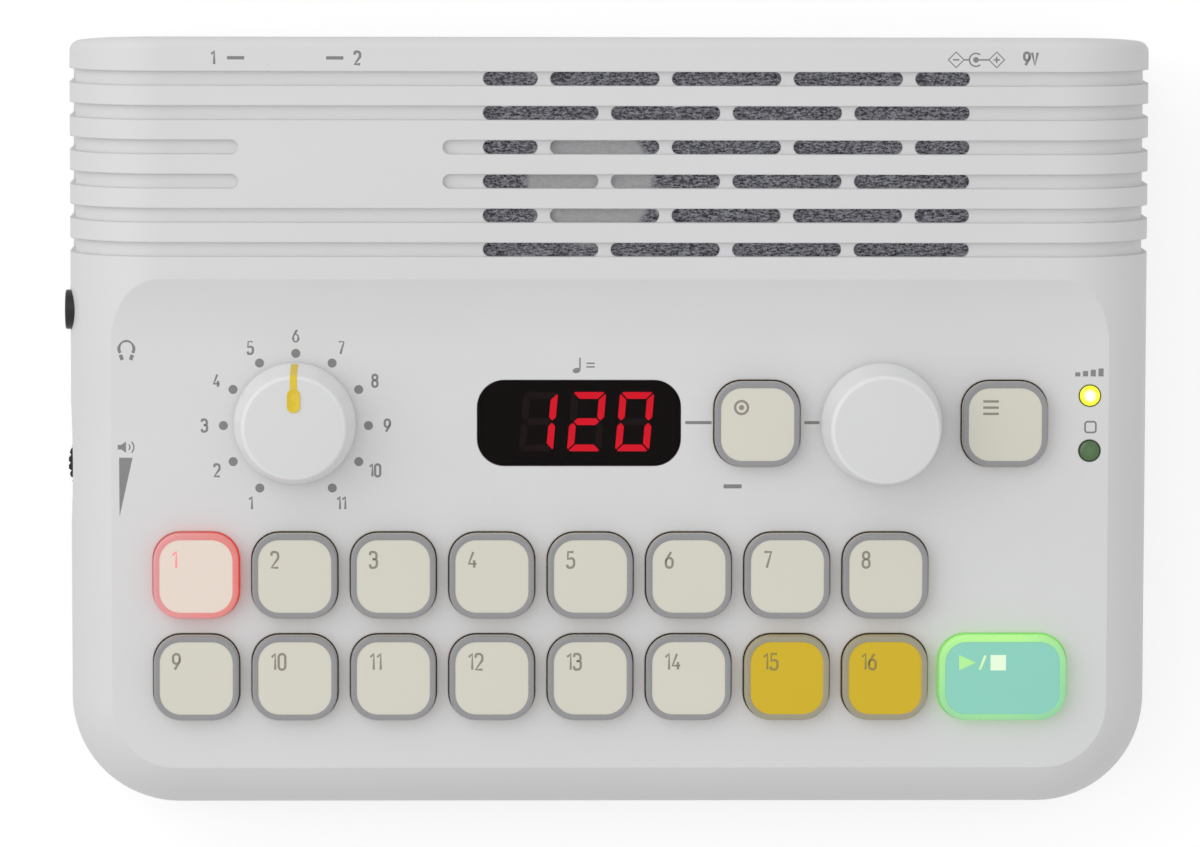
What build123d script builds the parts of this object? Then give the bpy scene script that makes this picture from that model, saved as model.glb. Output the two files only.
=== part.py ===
from build123d import *
import os
from math import atan2, cos, degrees, radians, sin, sqrt, tan

os.makedirs("parts", exist_ok=True)

# A table-top drum machine: a moulded case with a sloping control panel, sixteen pads in two
# rows, four larger controls above them, and a ribbed speaker grille along the back.
# Millimetres. X runs to the player's right, Y away from the player, Z up from the table.
# The origin is on the table, under the middle of the case.

# ---------------------------------------------------------------- case
case_width = 210.0
case_depth = 148.5
rear_height = 57.0       # top of the case over the table, at the rear wall
tilt = 5.0               # the whole top slopes down towards the player
wall = 2.4
front_corner = 21.0      # plan radius of the two front corners
shoulder = 18.0          # rounding between the top and the walls
rear_edge = 2.0
foot_height = 2.0
floor_thickness = 2.4
base_edge = 1.6          # rounding of the lower case's bottom edge
split_height = 18.0      # where the two case halves meet
lip_height = 2.0
lip_thickness = 1.1
fit_gap = 0.15
seam = 0.3               # bevel along the lower case's rim that shows as the parting line
cut_over = 1.0           # cutters reach this far past the faces that they cut

# ---------------------------------------------------------------- control panel
panel_drop = 2.7         # the panel lies this far below the top of the ribbed section
sweep_radius = 34.0      # hollow sweep from the panel up to the ribbed section
sweep_turn = 60.0
crest = 28.0             # where that sweep meets the ribbed section

# ---------------------------------------------------------------- ribs and grille
groove_count = 6
groove_pitch = 6.58
groove_width = 2.7
groove_depth = 1.1
groove_first = 33.5
groove_end = 6.0         # the grooves stop this far above the split
name_gap_left = -71.8    # two grooves stop for a plain stretch between these two places
name_gap_right = -32.4
name_gap_rows = (2, 3)
grille_left = -24.7
grille_bricks = 4
brick_pitch = 23.42
brick_gap = 2.4

# ---------------------------------------------------------------- pads and keys
key_pitch = 19.05
key_size = 16.4
key_corner = 5.2
key_rise = 3.0           # top of a key over the panel
key_edge = 0.6
key_face_inset = 1.15    # width of the clear ring round the coloured face
key_face_drop = 0.12
key_clearance = 0.25
key_travel = 1.2
key_flange = 0.75        # how far the retaining flange reaches out past the hole's edge
key_flange_thickness = 1.0
pads_per_row = 8
pad_first_x = -80.1
pad_row_v = (-29.5, -49.35)
start_x = 76.1
start_width = 24.6
tap_x = 28.3
mode_x = 76.2
rest_gap = 0.1

# ---------------------------------------------------------------- window and lamps
window_x = -6.1
window_width = 39.3
window_height = 16.6
window_corner = 5.2
window_lip = 1.5
window_lip_thickness = 0.8
window_recess = 0.1
module_width = 37.6
module_height = 15.4
module_gap = 0.1
digit_count = 3
digit_pitch = 10.4
digit_height = 11.9
digit_width = 7.6
segment_width = 1.35
segment_gap = 0.25
segment_rise = 0.15
digit_slant = 5.0
lamp_x = 92.8
lamp_v = (5.35, -5.35)
lamp_diameter = 4.4
lamp_rise = 0.5
lamp_dome = 1.2

# ---------------------------------------------------------------- knobs
selector_x = -61.0
selector_height = 11.0
dial_x = 52.4
dial_height = 14.5
knob_diameter = 23.8
knob_top_diameter = 21.6
knob_edge = 2.2
knob_wall = 1.8
knob_float = 0.8         # gap between a knob's skirt and the panel
pointer_width = 1.35
pointer_pad_width = 2.7
pointer_pad_length = 4.6
pointer_rise = 0.15
shaft_diameter = 6.0
shaft_flat = 1.5         # distance of the flat from the shaft's axis
bush_diameter = 9.0
bush_rise = 0.6
running_gap = 0.05
seat_gap = 0.02
hub_diameter = 9.6
hub_start = 1.2
control_body = 14.0
control_body_height = 4.0
control_corner = 1.0
shaft_root = 5.6         # lower end of a control's shaft below the panel's face
pointer_depth = 0.9
pointer_pad_from = 1.9   # the pad's inner end from the knob's axis

# ---------------------------------------------------------------- circuit boards
board_thickness = 1.6
panel_board_drop = 7.0   # top of the panel board below the panel's face
panel_board_width = 184.0
panel_board_front = -60.5
panel_board_back = 17.0
wing_left = -99.4        # board wing that carries the socket and the volume wheel
wing_right = -62.0
wing_front = -18.0
wing_back = 29.5
post_diameter = 5.0
post_hole_depth = 3.4
post_stop = 0.6          # the speaker's posts end this far below the groove floors
post_places = [(-84.0, -14.8), (-36.0, -14.8), (18.0, -14.8), (64.0, -14.8), (-36.0, 12.5), (40.0, 12.5)]
main_board_height = 24.0
main_board_width = 184.0
main_board_front = 30.0
main_board_gap = 0.6     # between the main board's rear edge and the rear wall
main_posts = [(-87.0, 36.0), (87.0, 36.0), (-87.0, 67.0), (87.0, 67.0)]
ribbon_x = 34.0
ribbon_v = 8.0
ribbon_width = 18.0
ribbon_thickness = 0.6
ribbon_drop = 5.0
ribbon_bend = 2.4
tact_size = 6.0
tact_height = 2.2
tact_plunger = 3.2
key_lamp_size = 1.8
key_lamp_height = 0.8
key_lamp_v = 4.6         # a key's own lamp sits this far behind its switch
key_wall = 1.6
key_roof = 1.6
stem_diameter = 4.0

# ---------------------------------------------------------------- sockets and wheel
jack_v = 21.0
jack_depth = 13.0        # socket axis below the panel's face
jack_width = 11.0
jack_height = 8.4
jack_length = 14.0
jack_barrel = 6.0
collar_diameter = 7.7
collar_rise = 0.8
collar_chamfer = 0.2
small_plug = 3.6
small_plug_length = 15.0
wheel_v = -9.1
wheel_diameter = 18.0
wheel_thickness = 3.4
wheel_reach = 0.45       # how far the wheel stands out of the wall
wheel_ribs = 36
wheel_groove = 0.63       # side of the square grooves, cut with a corner inwards
wheel_stub = 3.0
wheel_stub_length = 3.5
wheel_gap = 0.4
scoop_depth = 0.5
scoop_length = 26.0
scoop_below = 6.0
pot_body = 8.0
pot_height = 4.2
foot_jack_x = (-76.7, -48.9)
foot_plug = 6.5
foot_plug_length = 26.0
foot_jack_width = 15.0
foot_jack_height = 13.0
foot_jack_length = 24.0
foot_collar = 11.0
power_jack_x = 74.0
power_jack_hole = 5.7
power_jack_hole_length = 10.0
power_collar = 8.0
power_pin = 2.0
power_jack_width = 9.0
power_jack_height = 11.0
power_jack_length = 14.0
switch_x = 50.0
switch_body_width = 14.0
switch_body_height = 6.4
switch_body_length = 6.0
switch_lever_width = 4.0
switch_lever_height = 3.0
switch_travel = 4.0
switch_gap = 0.3

# ---------------------------------------------------------------- speaker
speaker_x = -4.0
speaker_v = 46.6
speaker_diameter = 44.0
speaker_square = 41.0    # side of the square frame that carries the four screw holes
speaker_screw = 16.5     # screw holes from the speaker's axis, along both sides
speaker_post = 4.0       # slim enough to stand between two rows of slots
speaker_sink = 5.0       # front of the speaker's frame below the panel's face
speaker_rim = 1.0
speaker_mouth = 39.2
speaker_depth = 12.0     # from the front of the frame to the back of the basket
basket_back = 24.0
basket_metal = 0.8
basket_windows = 4
basket_window = 6.5
magnet_diameter = 27.0
magnet_height = 6.0
magnet_edge = 0.5
cone_thickness = 0.5
cone_roll = 2.2
cone_depth = 6.5
dust_cap = 22.0
dust_cap_rise = 3.2
gasket_width = 2.2
gasket_gap = 0.5
cloth_thickness = 0.8
cloth_margin = 2.6

# ---------------------------------------------------------------- battery box
cell_diameter = 14.2
cell_length = 50.0
cell_count = 6
cell_gap = 0.4
cell_play = 0.05
cell_button = 5.2
cell_button_height = 1.2
contact_space = 2.6
box_wall = 1.6
door_thickness = 2.0
door_tongue = 1.4
door_step = 1.0
door_gap = 0.2
rail_height = 4.6
door_grips = 5
door_grip_length = 24.0
door_grip_width = 1.2
door_grip_depth = 0.6
door_grip_pitch = 2.6
door_grip_inset = 8.0
plate_thickness = 0.4
plate_width = 9.0
plate_corner = 1.0
spring_diameter = 8.0
spring_taper = 12.0

# ---------------------------------------------------------------- fasteners and feet
screw_diameter = 3.0
screw_head = 5.6
screw_head_height = 2.0
screw_sink = 8.0         # the screw heads sit this far up inside the lower case
screw_grip = 9.0         # length of screw in the upper case
boss_diameter = 6.6
boss_places = [(-97.4, -50.0), (97.4, -50.0), (-97.4, 57.0), (97.4, 57.0), (-30.0, -66.6), (30.0, -66.6)]
small_screw = 2.0
small_screw_length = 4.4
small_head = 3.8
small_head_height = 1.4
foot_diameter = 12.0
foot_recess = 0.8
foot_chamfer = 0.4
foot_inset_x = 22.0
foot_inset_y = 20.0

# ================================================================ worked-out places
sin_t = sin(radians(tilt))
cos_t = cos(radians(tilt))
half_w = case_width / 2
half_d = case_depth / 2
far = case_width         # longer than any cut through the case
top_z = rear_height - half_d * tan(radians(tilt))
normal = Vector(0, -sin_t, cos_t)
top_plane = Plane(origin=(0, 0, top_z), x_dir=(1, 0, 0), z_dir=normal)
panel = Plane(origin=(0, 0, top_z - panel_drop / cos_t), x_dir=(1, 0, 0), z_dir=normal)
side = Plane(origin=panel.origin, x_dir=panel.y_dir, z_dir=(1, 0, 0))
sweep_start = crest - sqrt(sweep_radius**2 - (sweep_radius - panel_drop) ** 2)
rear_inner = half_d - wall
floor_top = foot_height + floor_thickness
grooves_v = [groove_first + row * groove_pitch for row in range(groove_count)]
grille_right = grille_left + grille_bricks * brick_pitch
roof_w = panel_drop - wall                      # underside of the ribbed section's roof
board_w = -panel_board_drop
under_board = board_w - board_thickness
flange_reach = key_clearance + key_flange
flange_top = -wall - rest_gap
flange_bottom = flange_top - key_flange_thickness
stem_bottom = flange_bottom + rest_gap
plunger_top = stem_bottom - key_travel - running_gap
board_top_z = main_board_height + board_thickness
board_rear = rear_inner - main_board_gap
wheel_x = -half_w - wheel_reach + wheel_diameter / 2
wheel_top = under_board - pot_height - wheel_gap
foot_axis_z = board_top_z + foot_jack_height / 2
power_axis_z = board_top_z + power_jack_height / 2
switch_axis_z = board_top_z + switch_body_height / 2
lever_way = switch_lever_width + switch_travel + 2 * switch_gap
jack_face = -half_w - collar_rise
jack_body_x = -half_w + 2 * wall
jack_plane = Plane(origin=panel.from_local_coords((jack_face, jack_v, -jack_depth)), z_dir=(1, 0, 0))
lamp_places = [(lamp_x, v) for v in lamp_v]
knob_places = [(selector_x, 0), (dial_x, 0)]
speaker_posts = [(speaker_x + i * speaker_screw, speaker_v + j * speaker_screw)
                 for i in (-1, 1) for j in (-1, 1)]

keys = []
for row, row_v in enumerate(pad_row_v):
    for column in range(pads_per_row):
        number = row * pads_per_row + column + 1
        keys.append((f"pad_{number:02d}", pad_first_x + column * key_pitch, row_v, key_size))
lit_keys = keys + [("start_stop_key", start_x, pad_row_v[1], start_width)]
keys = lit_keys + [("tap_key", tap_x, 0.0, key_size), ("mode_key", mode_x, 0.0, key_size)]


def write(piece, name):
    piece.part.label = name
    export_step(piece.part, f"parts/{name}.step")


def case_plan(inset):
    """The case seen from above, drawn in by an inset: wide front corners, small rear ones."""
    with BuildSketch() as plan:
        corners = Rectangle(case_width - 2 * inset, case_depth - 2 * inset).vertices()
        fillet(corners.group_by(Axis.Y)[0], front_corner - inset)
        if inset < rear_edge:
            fillet(plan.vertices().group_by(Axis.Y)[-1], rear_edge - inset)
    return plan.sketch


def outer_form(inset):
    """The case above its split, without panel or holes, drawn in by an inset on every side."""
    with BuildPart() as form:
        with BuildSketch(Plane.XY.offset(split_height - wall)):
            with Locations((0, -half_d + inset)):
                plan = Rectangle(case_width - 2 * inset, 2 * far, align=(Align.CENTER, Align.MIN))
            fillet(plan.vertices().group_by(Axis.Y)[0], front_corner - inset)
        extrude(amount=far)
        split(bisect_by=top_plane.offset(-inset), keep=Keep.BOTTOM)
        top_face = form.faces().sort_by(Axis((0, 0, 0), normal))[-1]
        fillet(top_face.edges().sort_by(Axis.Y)[:-1], shoulder - inset)
        split(bisect_by=Plane.XZ.offset(-(half_d - inset)), keep=Keep.TOP)
    return form.part


def panel_cut(sink):
    """The space above the panel and its rear sweep, lowered by a sink."""
    with BuildPart() as cut:
        with BuildSketch(side):
            with BuildLine():
                flat = Line((-far, -sink), (sweep_start, -sink))
                rise = CenterArc((sweep_start, sweep_radius), sweep_radius + sink, -90, sweep_turn)
                Polyline(rise @ 1, ((rise @ 1).X, far), (-far, far), flat @ 0)
            make_face()
        extrude(amount=far, both=True)
    return cut.part


def case_body(inset):
    """The closed form of the upper case with its panel, drawn in by an inset."""
    with BuildPart() as body:
        add(outer_form(inset))
        add(panel_cut(inset), mode=Mode.SUBTRACT)
    return body.part


def grille_row(row):
    """Centre and length of each slot in one row: whole bricks, or half bricks at both ends."""
    breaks = grille_bricks if row % 2 else grille_bricks - 1
    first = brick_pitch / 2 if row % 2 else brick_pitch
    gaps = [grille_left + first + brick_pitch * i for i in range(breaks)]
    starts = [grille_left] + [gap + brick_gap / 2 for gap in gaps]
    ends = [gap - brick_gap / 2 for gap in gaps] + [grille_right]
    return [((start + end) / 2, end - start) for start, end in zip(starts, ends)]


def upright(x, v, w=0.0):
    """A plane through a place on the panel, facing the player, whose Y runs out of the panel."""
    return Plane(origin=panel.from_local_coords((x, v, w)), x_dir=(1, 0, 0), z_dir=panel.y_dir * -1)


def panel_axis(x, v):
    return Axis(panel.from_local_coords((x, v, 0)), normal)


# ================================================================ upper case
with BuildPart() as grooves:
    with BuildSketch(top_plane.offset(shoulder)):
        for row, row_v in enumerate(grooves_v):
            if row in name_gap_rows:
                left_length = far + name_gap_left
                with Locations((name_gap_left - left_length / 2, row_v)):
                    SlotOverall(left_length, groove_width)
                right_length = far - name_gap_right
                with Locations((name_gap_right + right_length / 2, row_v)):
                    SlotOverall(right_length, groove_width)
            else:
                with Locations((0, row_v)):
                    Rectangle(2 * far, groove_width)
    extrude(amount=-far)
    add(outer_form(groove_depth), mode=Mode.SUBTRACT)
    split(bisect_by=Plane.XY.offset(split_height + groove_end), keep=Keep.TOP)

# Screw bosses that hang from the roof, cut off inside its thickness
with BuildPart() as bosses:
    with BuildSketch(Plane.XY.offset(split_height)):
        with Locations(*boss_places):
            Circle(boss_diameter / 2)
    extrude(amount=far)
    add(case_body(wall / 2), mode=Mode.INTERSECT)

with BuildPart() as upper_case:
    add(outer_form(0))
    split(bisect_by=Plane.XY.offset(split_height), keep=Keep.TOP)
    rear_face = upper_case.faces().sort_by(Axis.Y)[-1]
    fillet(rear_face.edges().sort_by(Axis.Z)[1:], rear_edge)
    add(panel_cut(0), mode=Mode.SUBTRACT)
    add(grooves.part, mode=Mode.SUBTRACT)
    add(case_body(wall), mode=Mode.SUBTRACT)
    # Grille slots along the groove floors
    with BuildSketch(top_plane.offset(cut_over)):
        for row, row_v in enumerate(grooves_v):
            for centre, length in grille_row(row):
                with Locations((centre, row_v)):
                    SlotOverall(length, groove_width)
    extrude(amount=-(wall + 2 * cut_over), mode=Mode.SUBTRACT)
    # Openings in the panel for keys, window, lamps and control shafts
    with BuildSketch(panel.offset(cut_over)):
        for name, x, v, width in keys:
            with Locations((x, v)):
                RectangleRounded(width + 2 * key_clearance, key_size + 2 * key_clearance,
                                 key_corner + key_clearance)
        with Locations((window_x, 0)):
            RectangleRounded(window_width + fit_gap, window_height + fit_gap, window_corner + fit_gap / 2)
        with Locations(*lamp_places):
            Circle(lamp_diameter / 2)
        with Locations(*knob_places):
            Circle(bush_diameter / 2 + fit_gap)
    extrude(amount=-(wall + 2 * cut_over), mode=Mode.SUBTRACT)
    # Posts for the panel board and for the speaker, with their screw holes
    with BuildSketch(panel.offset(board_w)):
        with Locations(*post_places):
            Circle(post_diameter / 2)
    extrude(amount=panel_board_drop - wall / 2)
    with BuildSketch(panel.offset(board_w)):
        with Locations(*post_places):
            Circle(small_screw / 2 + running_gap)
    extrude(amount=post_hole_depth, mode=Mode.SUBTRACT)
    with BuildSketch(panel.offset(-speaker_sink)):
        with Locations(*speaker_posts):
            Circle(speaker_post / 2)
    extrude(amount=speaker_sink + panel_drop - groove_depth - post_stop)
    with BuildSketch(panel.offset(-speaker_sink)):
        with Locations(*speaker_posts):
            Circle(small_screw / 2 + running_gap)
    extrude(amount=post_hole_depth, mode=Mode.SUBTRACT)
    # Hole for the headphone socket's collar
    with BuildSketch(jack_plane):
        Circle(collar_diameter / 2 + running_gap)
    extrude(amount=collar_rise + wall + cut_over, mode=Mode.SUBTRACT)
    # A shallow scoop for the finger round the volume wheel, and the wheel's own slot
    scoop_radius = (scoop_length**2 / 4 + scoop_depth**2) / (2 * scoop_depth)
    with BuildSketch(panel.offset(wheel_top - wheel_thickness - scoop_below)):
        with Locations((-half_w + scoop_depth - scoop_radius, wheel_v)):
            Circle(scoop_radius)
    extrude(amount=far, mode=Mode.SUBTRACT)
    with BuildSketch(panel.offset(wheel_top + wheel_gap)):
        with Locations((wheel_x, wheel_v)):
            Circle(wheel_diameter / 2 + wheel_gap)
    extrude(amount=-(wheel_thickness + 2 * wheel_gap), mode=Mode.SUBTRACT)
    # Rear wall: two foot-switch sockets, the power inlet and the power switch
    with BuildSketch(Plane.XZ.offset(-half_d - cut_over)):
        with Locations(*[(x, foot_axis_z) for x in foot_jack_x]):
            Circle(foot_collar / 2 + fit_gap)
        with Locations((power_jack_x, power_axis_z)):
            Circle(power_collar / 2 + fit_gap)
        with Locations((switch_x + switch_travel / 2, switch_axis_z)):
            Rectangle(lever_way, switch_lever_height + 2 * switch_gap)
    extrude(amount=wall + 2 * cut_over, mode=Mode.SUBTRACT)
    # Rebate for the lower case's lip, then the bosses for the case screws
    with BuildSketch(Plane.XY.offset(split_height)):
        add(case_plan(wall - lip_thickness))
    extrude(amount=lip_height + fit_gap, mode=Mode.SUBTRACT)
    add(bosses.part)
    with BuildSketch(Plane.XY.offset(split_height)):
        with Locations(*boss_places):
            Circle(screw_diameter / 2 + running_gap)
    extrude(amount=screw_grip + cut_over, mode=Mode.SUBTRACT)

write(upper_case, "upper_case")

# ================================================================ lower case
cells_width = cell_count * cell_diameter + (cell_count - 1) * cell_gap
chamber_half = cells_width / 2 + cell_gap
chamber_length = cell_length + 2 * contact_space
chamber_rear = rear_inner
chamber_front = chamber_rear - chamber_length
door_top = foot_height + door_thickness
cell_z = door_top + door_gap + cell_gap + cell_diameter / 2
chamber_top = cell_z + cell_diameter / 2 + cell_gap
door_half = chamber_half + door_step
tongue_half = door_half + door_tongue
rail_half = tongue_half + door_gap + box_wall
door_front = chamber_front - door_step
tongue_bottom = foot_height + door_thickness / 2
foot_places = [(i * (half_w - foot_inset_x), j * (half_d - foot_inset_y))
               for i in (-1, 1) for j in (-1, 1)]

with BuildPart() as lower_case:
    with BuildSketch(Plane.XY.offset(foot_height)):
        add(case_plan(0))
    extrude(amount=split_height - foot_height)
    fillet(lower_case.faces().sort_by(Axis.Z)[0].edges(), base_edge)
    chamfer(lower_case.faces().sort_by(Axis.Z)[-1].edges(), seam)
    with BuildSketch(Plane.XY.offset(floor_top)):
        add(case_plan(wall))
    extrude(amount=split_height, mode=Mode.SUBTRACT)
    with BuildSketch(Plane.XY.offset(split_height - lip_height)):
        add(case_plan(wall - lip_thickness + fit_gap))
        add(case_plan(wall), mode=Mode.SUBTRACT)
    extrude(amount=2 * lip_height)
    # Battery chamber: walls and roof on thick rails, and under it the door's sliding way
    with BuildSketch(Plane.XY.offset(foot_height)):
        with Locations((0, door_front - door_gap - box_wall)):
            Rectangle(2 * rail_half, rear_inner - door_front + door_gap + box_wall,
                      align=(Align.CENTER, Align.MIN))
    extrude(amount=rail_height)
    with BuildSketch(Plane.XY.offset(foot_height)):
        with Locations((0, chamber_front - box_wall)):
            Rectangle(2 * (chamber_half + box_wall), chamber_length + box_wall,
                      align=(Align.CENTER, Align.MIN))
    extrude(amount=chamber_top + box_wall - foot_height)
    with BuildSketch(Plane.XY.offset(foot_height)):
        with Locations((0, chamber_front)):
            Rectangle(2 * chamber_half, chamber_length, align=(Align.CENTER, Align.MIN))
    extrude(amount=chamber_top - foot_height, mode=Mode.SUBTRACT)
    with BuildSketch(Plane.XY.offset(foot_height - cut_over)):
        with Locations((0, door_front - door_gap)):
            Rectangle(2 * (door_half + door_gap), case_depth, align=(Align.CENTER, Align.MIN))
    extrude(amount=door_thickness + door_gap + cut_over, mode=Mode.SUBTRACT)
    with BuildSketch(Plane.XY.offset(tongue_bottom - door_gap)):
        with Locations((0, door_front - door_gap)):
            Rectangle(2 * (tongue_half + door_gap), case_depth, align=(Align.CENTER, Align.MIN))
    extrude(amount=door_top - tongue_bottom + 2 * door_gap, mode=Mode.SUBTRACT)
    # Posts for the case screws and for the main board, and seats for the feet
    with BuildSketch(Plane.XY.offset(foot_height)):
        with Locations(*boss_places):
            Circle(boss_diameter / 2 + box_wall)
    extrude(amount=split_height - foot_height)
    with BuildSketch(Plane.XY.offset(foot_height)):
        with Locations(*boss_places):
            Circle(screw_diameter / 2 + fit_gap)
    extrude(amount=split_height - foot_height, mode=Mode.SUBTRACT)
    with BuildSketch(Plane.XY.offset(foot_height)):
        with Locations(*boss_places):
            Circle(screw_head / 2 + 2 * fit_gap)
    extrude(amount=screw_sink, mode=Mode.SUBTRACT)
    with BuildSketch(Plane.XY.offset(foot_height + floor_thickness / 2)):
        with Locations(*main_posts):
            Circle(post_diameter / 2)
    extrude(amount=main_board_height - foot_height - floor_thickness / 2)
    with BuildSketch(Plane.XY.offset(main_board_height)):
        with Locations(*main_posts):
            Circle(small_screw / 2 + running_gap)
    extrude(amount=-small_screw_length, mode=Mode.SUBTRACT)
    with BuildSketch(Plane.XY.offset(foot_height)):
        with Locations(*foot_places):
            Circle(foot_diameter / 2 + running_gap)
    extrude(amount=foot_recess, mode=Mode.SUBTRACT)

write(lower_case, "lower_case")

with BuildPart() as rubber_feet:
    with BuildSketch():
        with Locations(*foot_places):
            Circle(foot_diameter / 2)
    extrude(amount=foot_height + foot_recess)
    chamfer(rubber_feet.faces().group_by(Axis.Z)[0].edges(), foot_chamfer)

write(rubber_feet, "rubber_feet")

with BuildPart() as case_screws:
    with BuildSketch(Plane.XY.offset(foot_height + screw_sink - screw_head_height)):
        with Locations(*boss_places):
            Circle(screw_head / 2)
    extrude(amount=screw_head_height)
    with BuildSketch(Plane.XY.offset(foot_height + screw_sink)):
        with Locations(*boss_places):
            Circle(screw_diameter / 2)
    extrude(amount=split_height + screw_grip - foot_height - screw_sink)

write(case_screws, "case_screws")

# ================================================================ battery door, cells and contacts
with BuildPart() as battery_door:
    with BuildSketch(Plane.XY.offset(foot_height)):
        with Locations((0, door_front)):
            Rectangle(2 * door_half, half_d - door_front, align=(Align.CENTER, Align.MIN))
    extrude(amount=door_thickness)
    with BuildSketch(Plane.XY.offset(tongue_bottom)):
        with Locations((0, door_front)):
            Rectangle(2 * tongue_half, half_d - door_front, align=(Align.CENTER, Align.MIN))
    extrude(amount=door_top - tongue_bottom)
    fillet(battery_door.edges().filter_by(Axis.X).group_by(Axis.Z)[0].sort_by(Axis.Y)[-1], base_edge)
    with BuildSketch(Plane.XY.offset(foot_height)):
        for grip in range(door_grips):
            with Locations((0, half_d - door_grip_inset - grip * door_grip_pitch)):
                SlotOverall(door_grip_length, door_grip_width)
    extrude(amount=door_grip_depth, mode=Mode.SUBTRACT)

write(battery_door, "battery_door")

# Neighbouring cells lie head to tail. +1 is a cell whose button points to the rear.
cells = []
for i in range(cell_count):
    cell_x = -cells_width / 2 + cell_diameter / 2 + i * (cell_diameter + cell_gap)
    cells.append((cell_x, 1 if i % 2 == 0 else -1))


def wall_plane(sense, distance):
    """A plane facing into the chamber, at a distance from its rear or front end wall."""
    wall_y = chamber_rear if sense > 0 else chamber_front
    return Plane(origin=(0, wall_y - sense * distance, cell_z), x_dir=(1, 0, 0), z_dir=(0, -sense, 0))


with BuildPart() as battery_cells:
    for cell_x, sense in cells:
        start = plate_thickness + cell_play
        with BuildSketch(wall_plane(sense, start)):
            with Locations((cell_x, 0)):
                Circle(cell_button / 2)
        extrude(amount=cell_button_height)
        with BuildSketch(wall_plane(sense, start + cell_button_height)):
            with Locations((cell_x, 0)):
                Circle(cell_diameter / 2)
        extrude(amount=cell_length - cell_button_height)

write(battery_cells, "battery_cells")

with BuildPart() as battery_contacts:
    for sense in (1, -1):
        with BuildSketch(wall_plane(sense, 0)):
            with Locations(*[(cell_x, 0) for cell_x, direction in cells]):
                RectangleRounded(plate_width, plate_width, plate_corner)
        extrude(amount=plate_thickness)

write(battery_contacts, "battery_contacts")

spring_length = chamber_length - cell_length - 2 * plate_thickness - 2 * cell_play
with BuildPart() as battery_springs:
    for cell_x, sense in cells:
        with BuildSketch(wall_plane(-sense, plate_thickness)):
            with Locations((cell_x, 0)):
                Circle(spring_diameter / 2)
        extrude(amount=spring_length, taper=spring_taper)

write(battery_springs, "battery_springs")

# ================================================================ speaker behind the grille
speaker_side = upright(speaker_x, speaker_v, -speaker_sink)
speaker_axis = panel_axis(speaker_x, speaker_v)

with BuildPart() as speaker_cloth:
    with BuildSketch(panel.offset(roof_w)):
        with Locations(((grille_left + grille_right) / 2, (grooves_v[0] + grooves_v[-1]) / 2)):
            Rectangle(grille_right - grille_left + 2 * cloth_margin,
                      grooves_v[-1] - grooves_v[0] + groove_width + 2 * cloth_margin)
        with Locations(*speaker_posts):
            Circle(speaker_post / 2 + 2 * fit_gap, mode=Mode.SUBTRACT)
    extrude(amount=-cloth_thickness)

write(speaker_cloth, "speaker_cloth")

with BuildPart() as speaker_gasket:
    with BuildSketch(panel.offset(-speaker_sink)):
        with Locations((speaker_x, speaker_v)):
            Circle(speaker_mouth / 2 + gasket_width / 2)
            Circle(speaker_mouth / 2 - gasket_width / 2, mode=Mode.SUBTRACT)
    extrude(amount=speaker_sink + roof_w - cloth_thickness - gasket_gap)

write(speaker_gasket, "speaker_gasket")

with BuildPart() as speaker_basket:
    mouth = speaker_mouth / 2
    back = basket_back / 2
    with BuildSketch(speaker_side):
        with BuildLine():
            Polyline((mouth, 0), (mouth + basket_metal, 0), (mouth + basket_metal, -speaker_rim),
                     (back + basket_metal, -speaker_depth), (0, -speaker_depth),
                     (0, -speaker_depth + basket_metal), (back, -speaker_depth + basket_metal),
                     (mouth, -speaker_rim), close=True)
        make_face()
    revolve(axis=speaker_axis)
    with BuildSketch(panel.offset(-speaker_sink)):
        with Locations((speaker_x, speaker_v)):
            Circle(speaker_diameter / 2)
            RectangleRounded(speaker_square, speaker_square, speaker_post)
            Circle(mouth, mode=Mode.SUBTRACT)
        with Locations(*speaker_posts):
            Circle(small_screw / 2 + fit_gap, mode=Mode.SUBTRACT)
    extrude(amount=-speaker_rim)
    with BuildSketch(panel.offset(-speaker_sink - 2 * speaker_rim)):
        with Locations((speaker_x, speaker_v)):
            with PolarLocations((mouth + back) / 2, basket_windows):
                Circle(basket_window / 2)
    extrude(amount=-speaker_depth, mode=Mode.SUBTRACT)

write(speaker_basket, "speaker_basket")

with BuildPart() as speaker_cone:
    with BuildSketch(speaker_side):
        with BuildLine():
            mouth = speaker_mouth / 2
            cap = dust_cap / 2
            thick = cone_thickness
            cap_radius = (cap**2 + dust_cap_rise**2) / (2 * dust_cap_rise)
            cap_centre = dust_cap_rise - cone_depth - cap_radius
            cap_angle = degrees(atan2(cap_radius - dust_cap_rise, cap))
            Line((mouth, -thick), (mouth, -2 * thick))
            ThreePointArc((mouth, -2 * thick), (mouth - cone_roll / 2, -thick),
                          (mouth - cone_roll, -2 * thick))
            Line((mouth - cone_roll, -2 * thick), (cap, -cone_depth - thick))
            CenterArc((0, cap_centre - thick), cap_radius, cap_angle, 90 - cap_angle)
            Line((0, dust_cap_rise - cone_depth - thick), (0, dust_cap_rise - cone_depth))
            CenterArc((0, cap_centre), cap_radius, cap_angle, 90 - cap_angle)
            Line((cap, -cone_depth), (mouth - cone_roll, -thick))
            ThreePointArc((mouth - cone_roll, -thick), (mouth - cone_roll / 2, 0), (mouth, -thick))
        make_face()
    revolve(axis=speaker_axis)

write(speaker_cone, "speaker_cone")

with BuildPart() as speaker_magnet:
    with BuildSketch(panel.offset(-speaker_sink - speaker_depth)):
        with Locations((speaker_x, speaker_v)):
            Circle(magnet_diameter / 2)
    extrude(amount=-magnet_height)
    fillet(speaker_magnet.edges().filter_by(GeomType.CIRCLE), magnet_edge)

write(speaker_magnet, "speaker_magnet")


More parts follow.
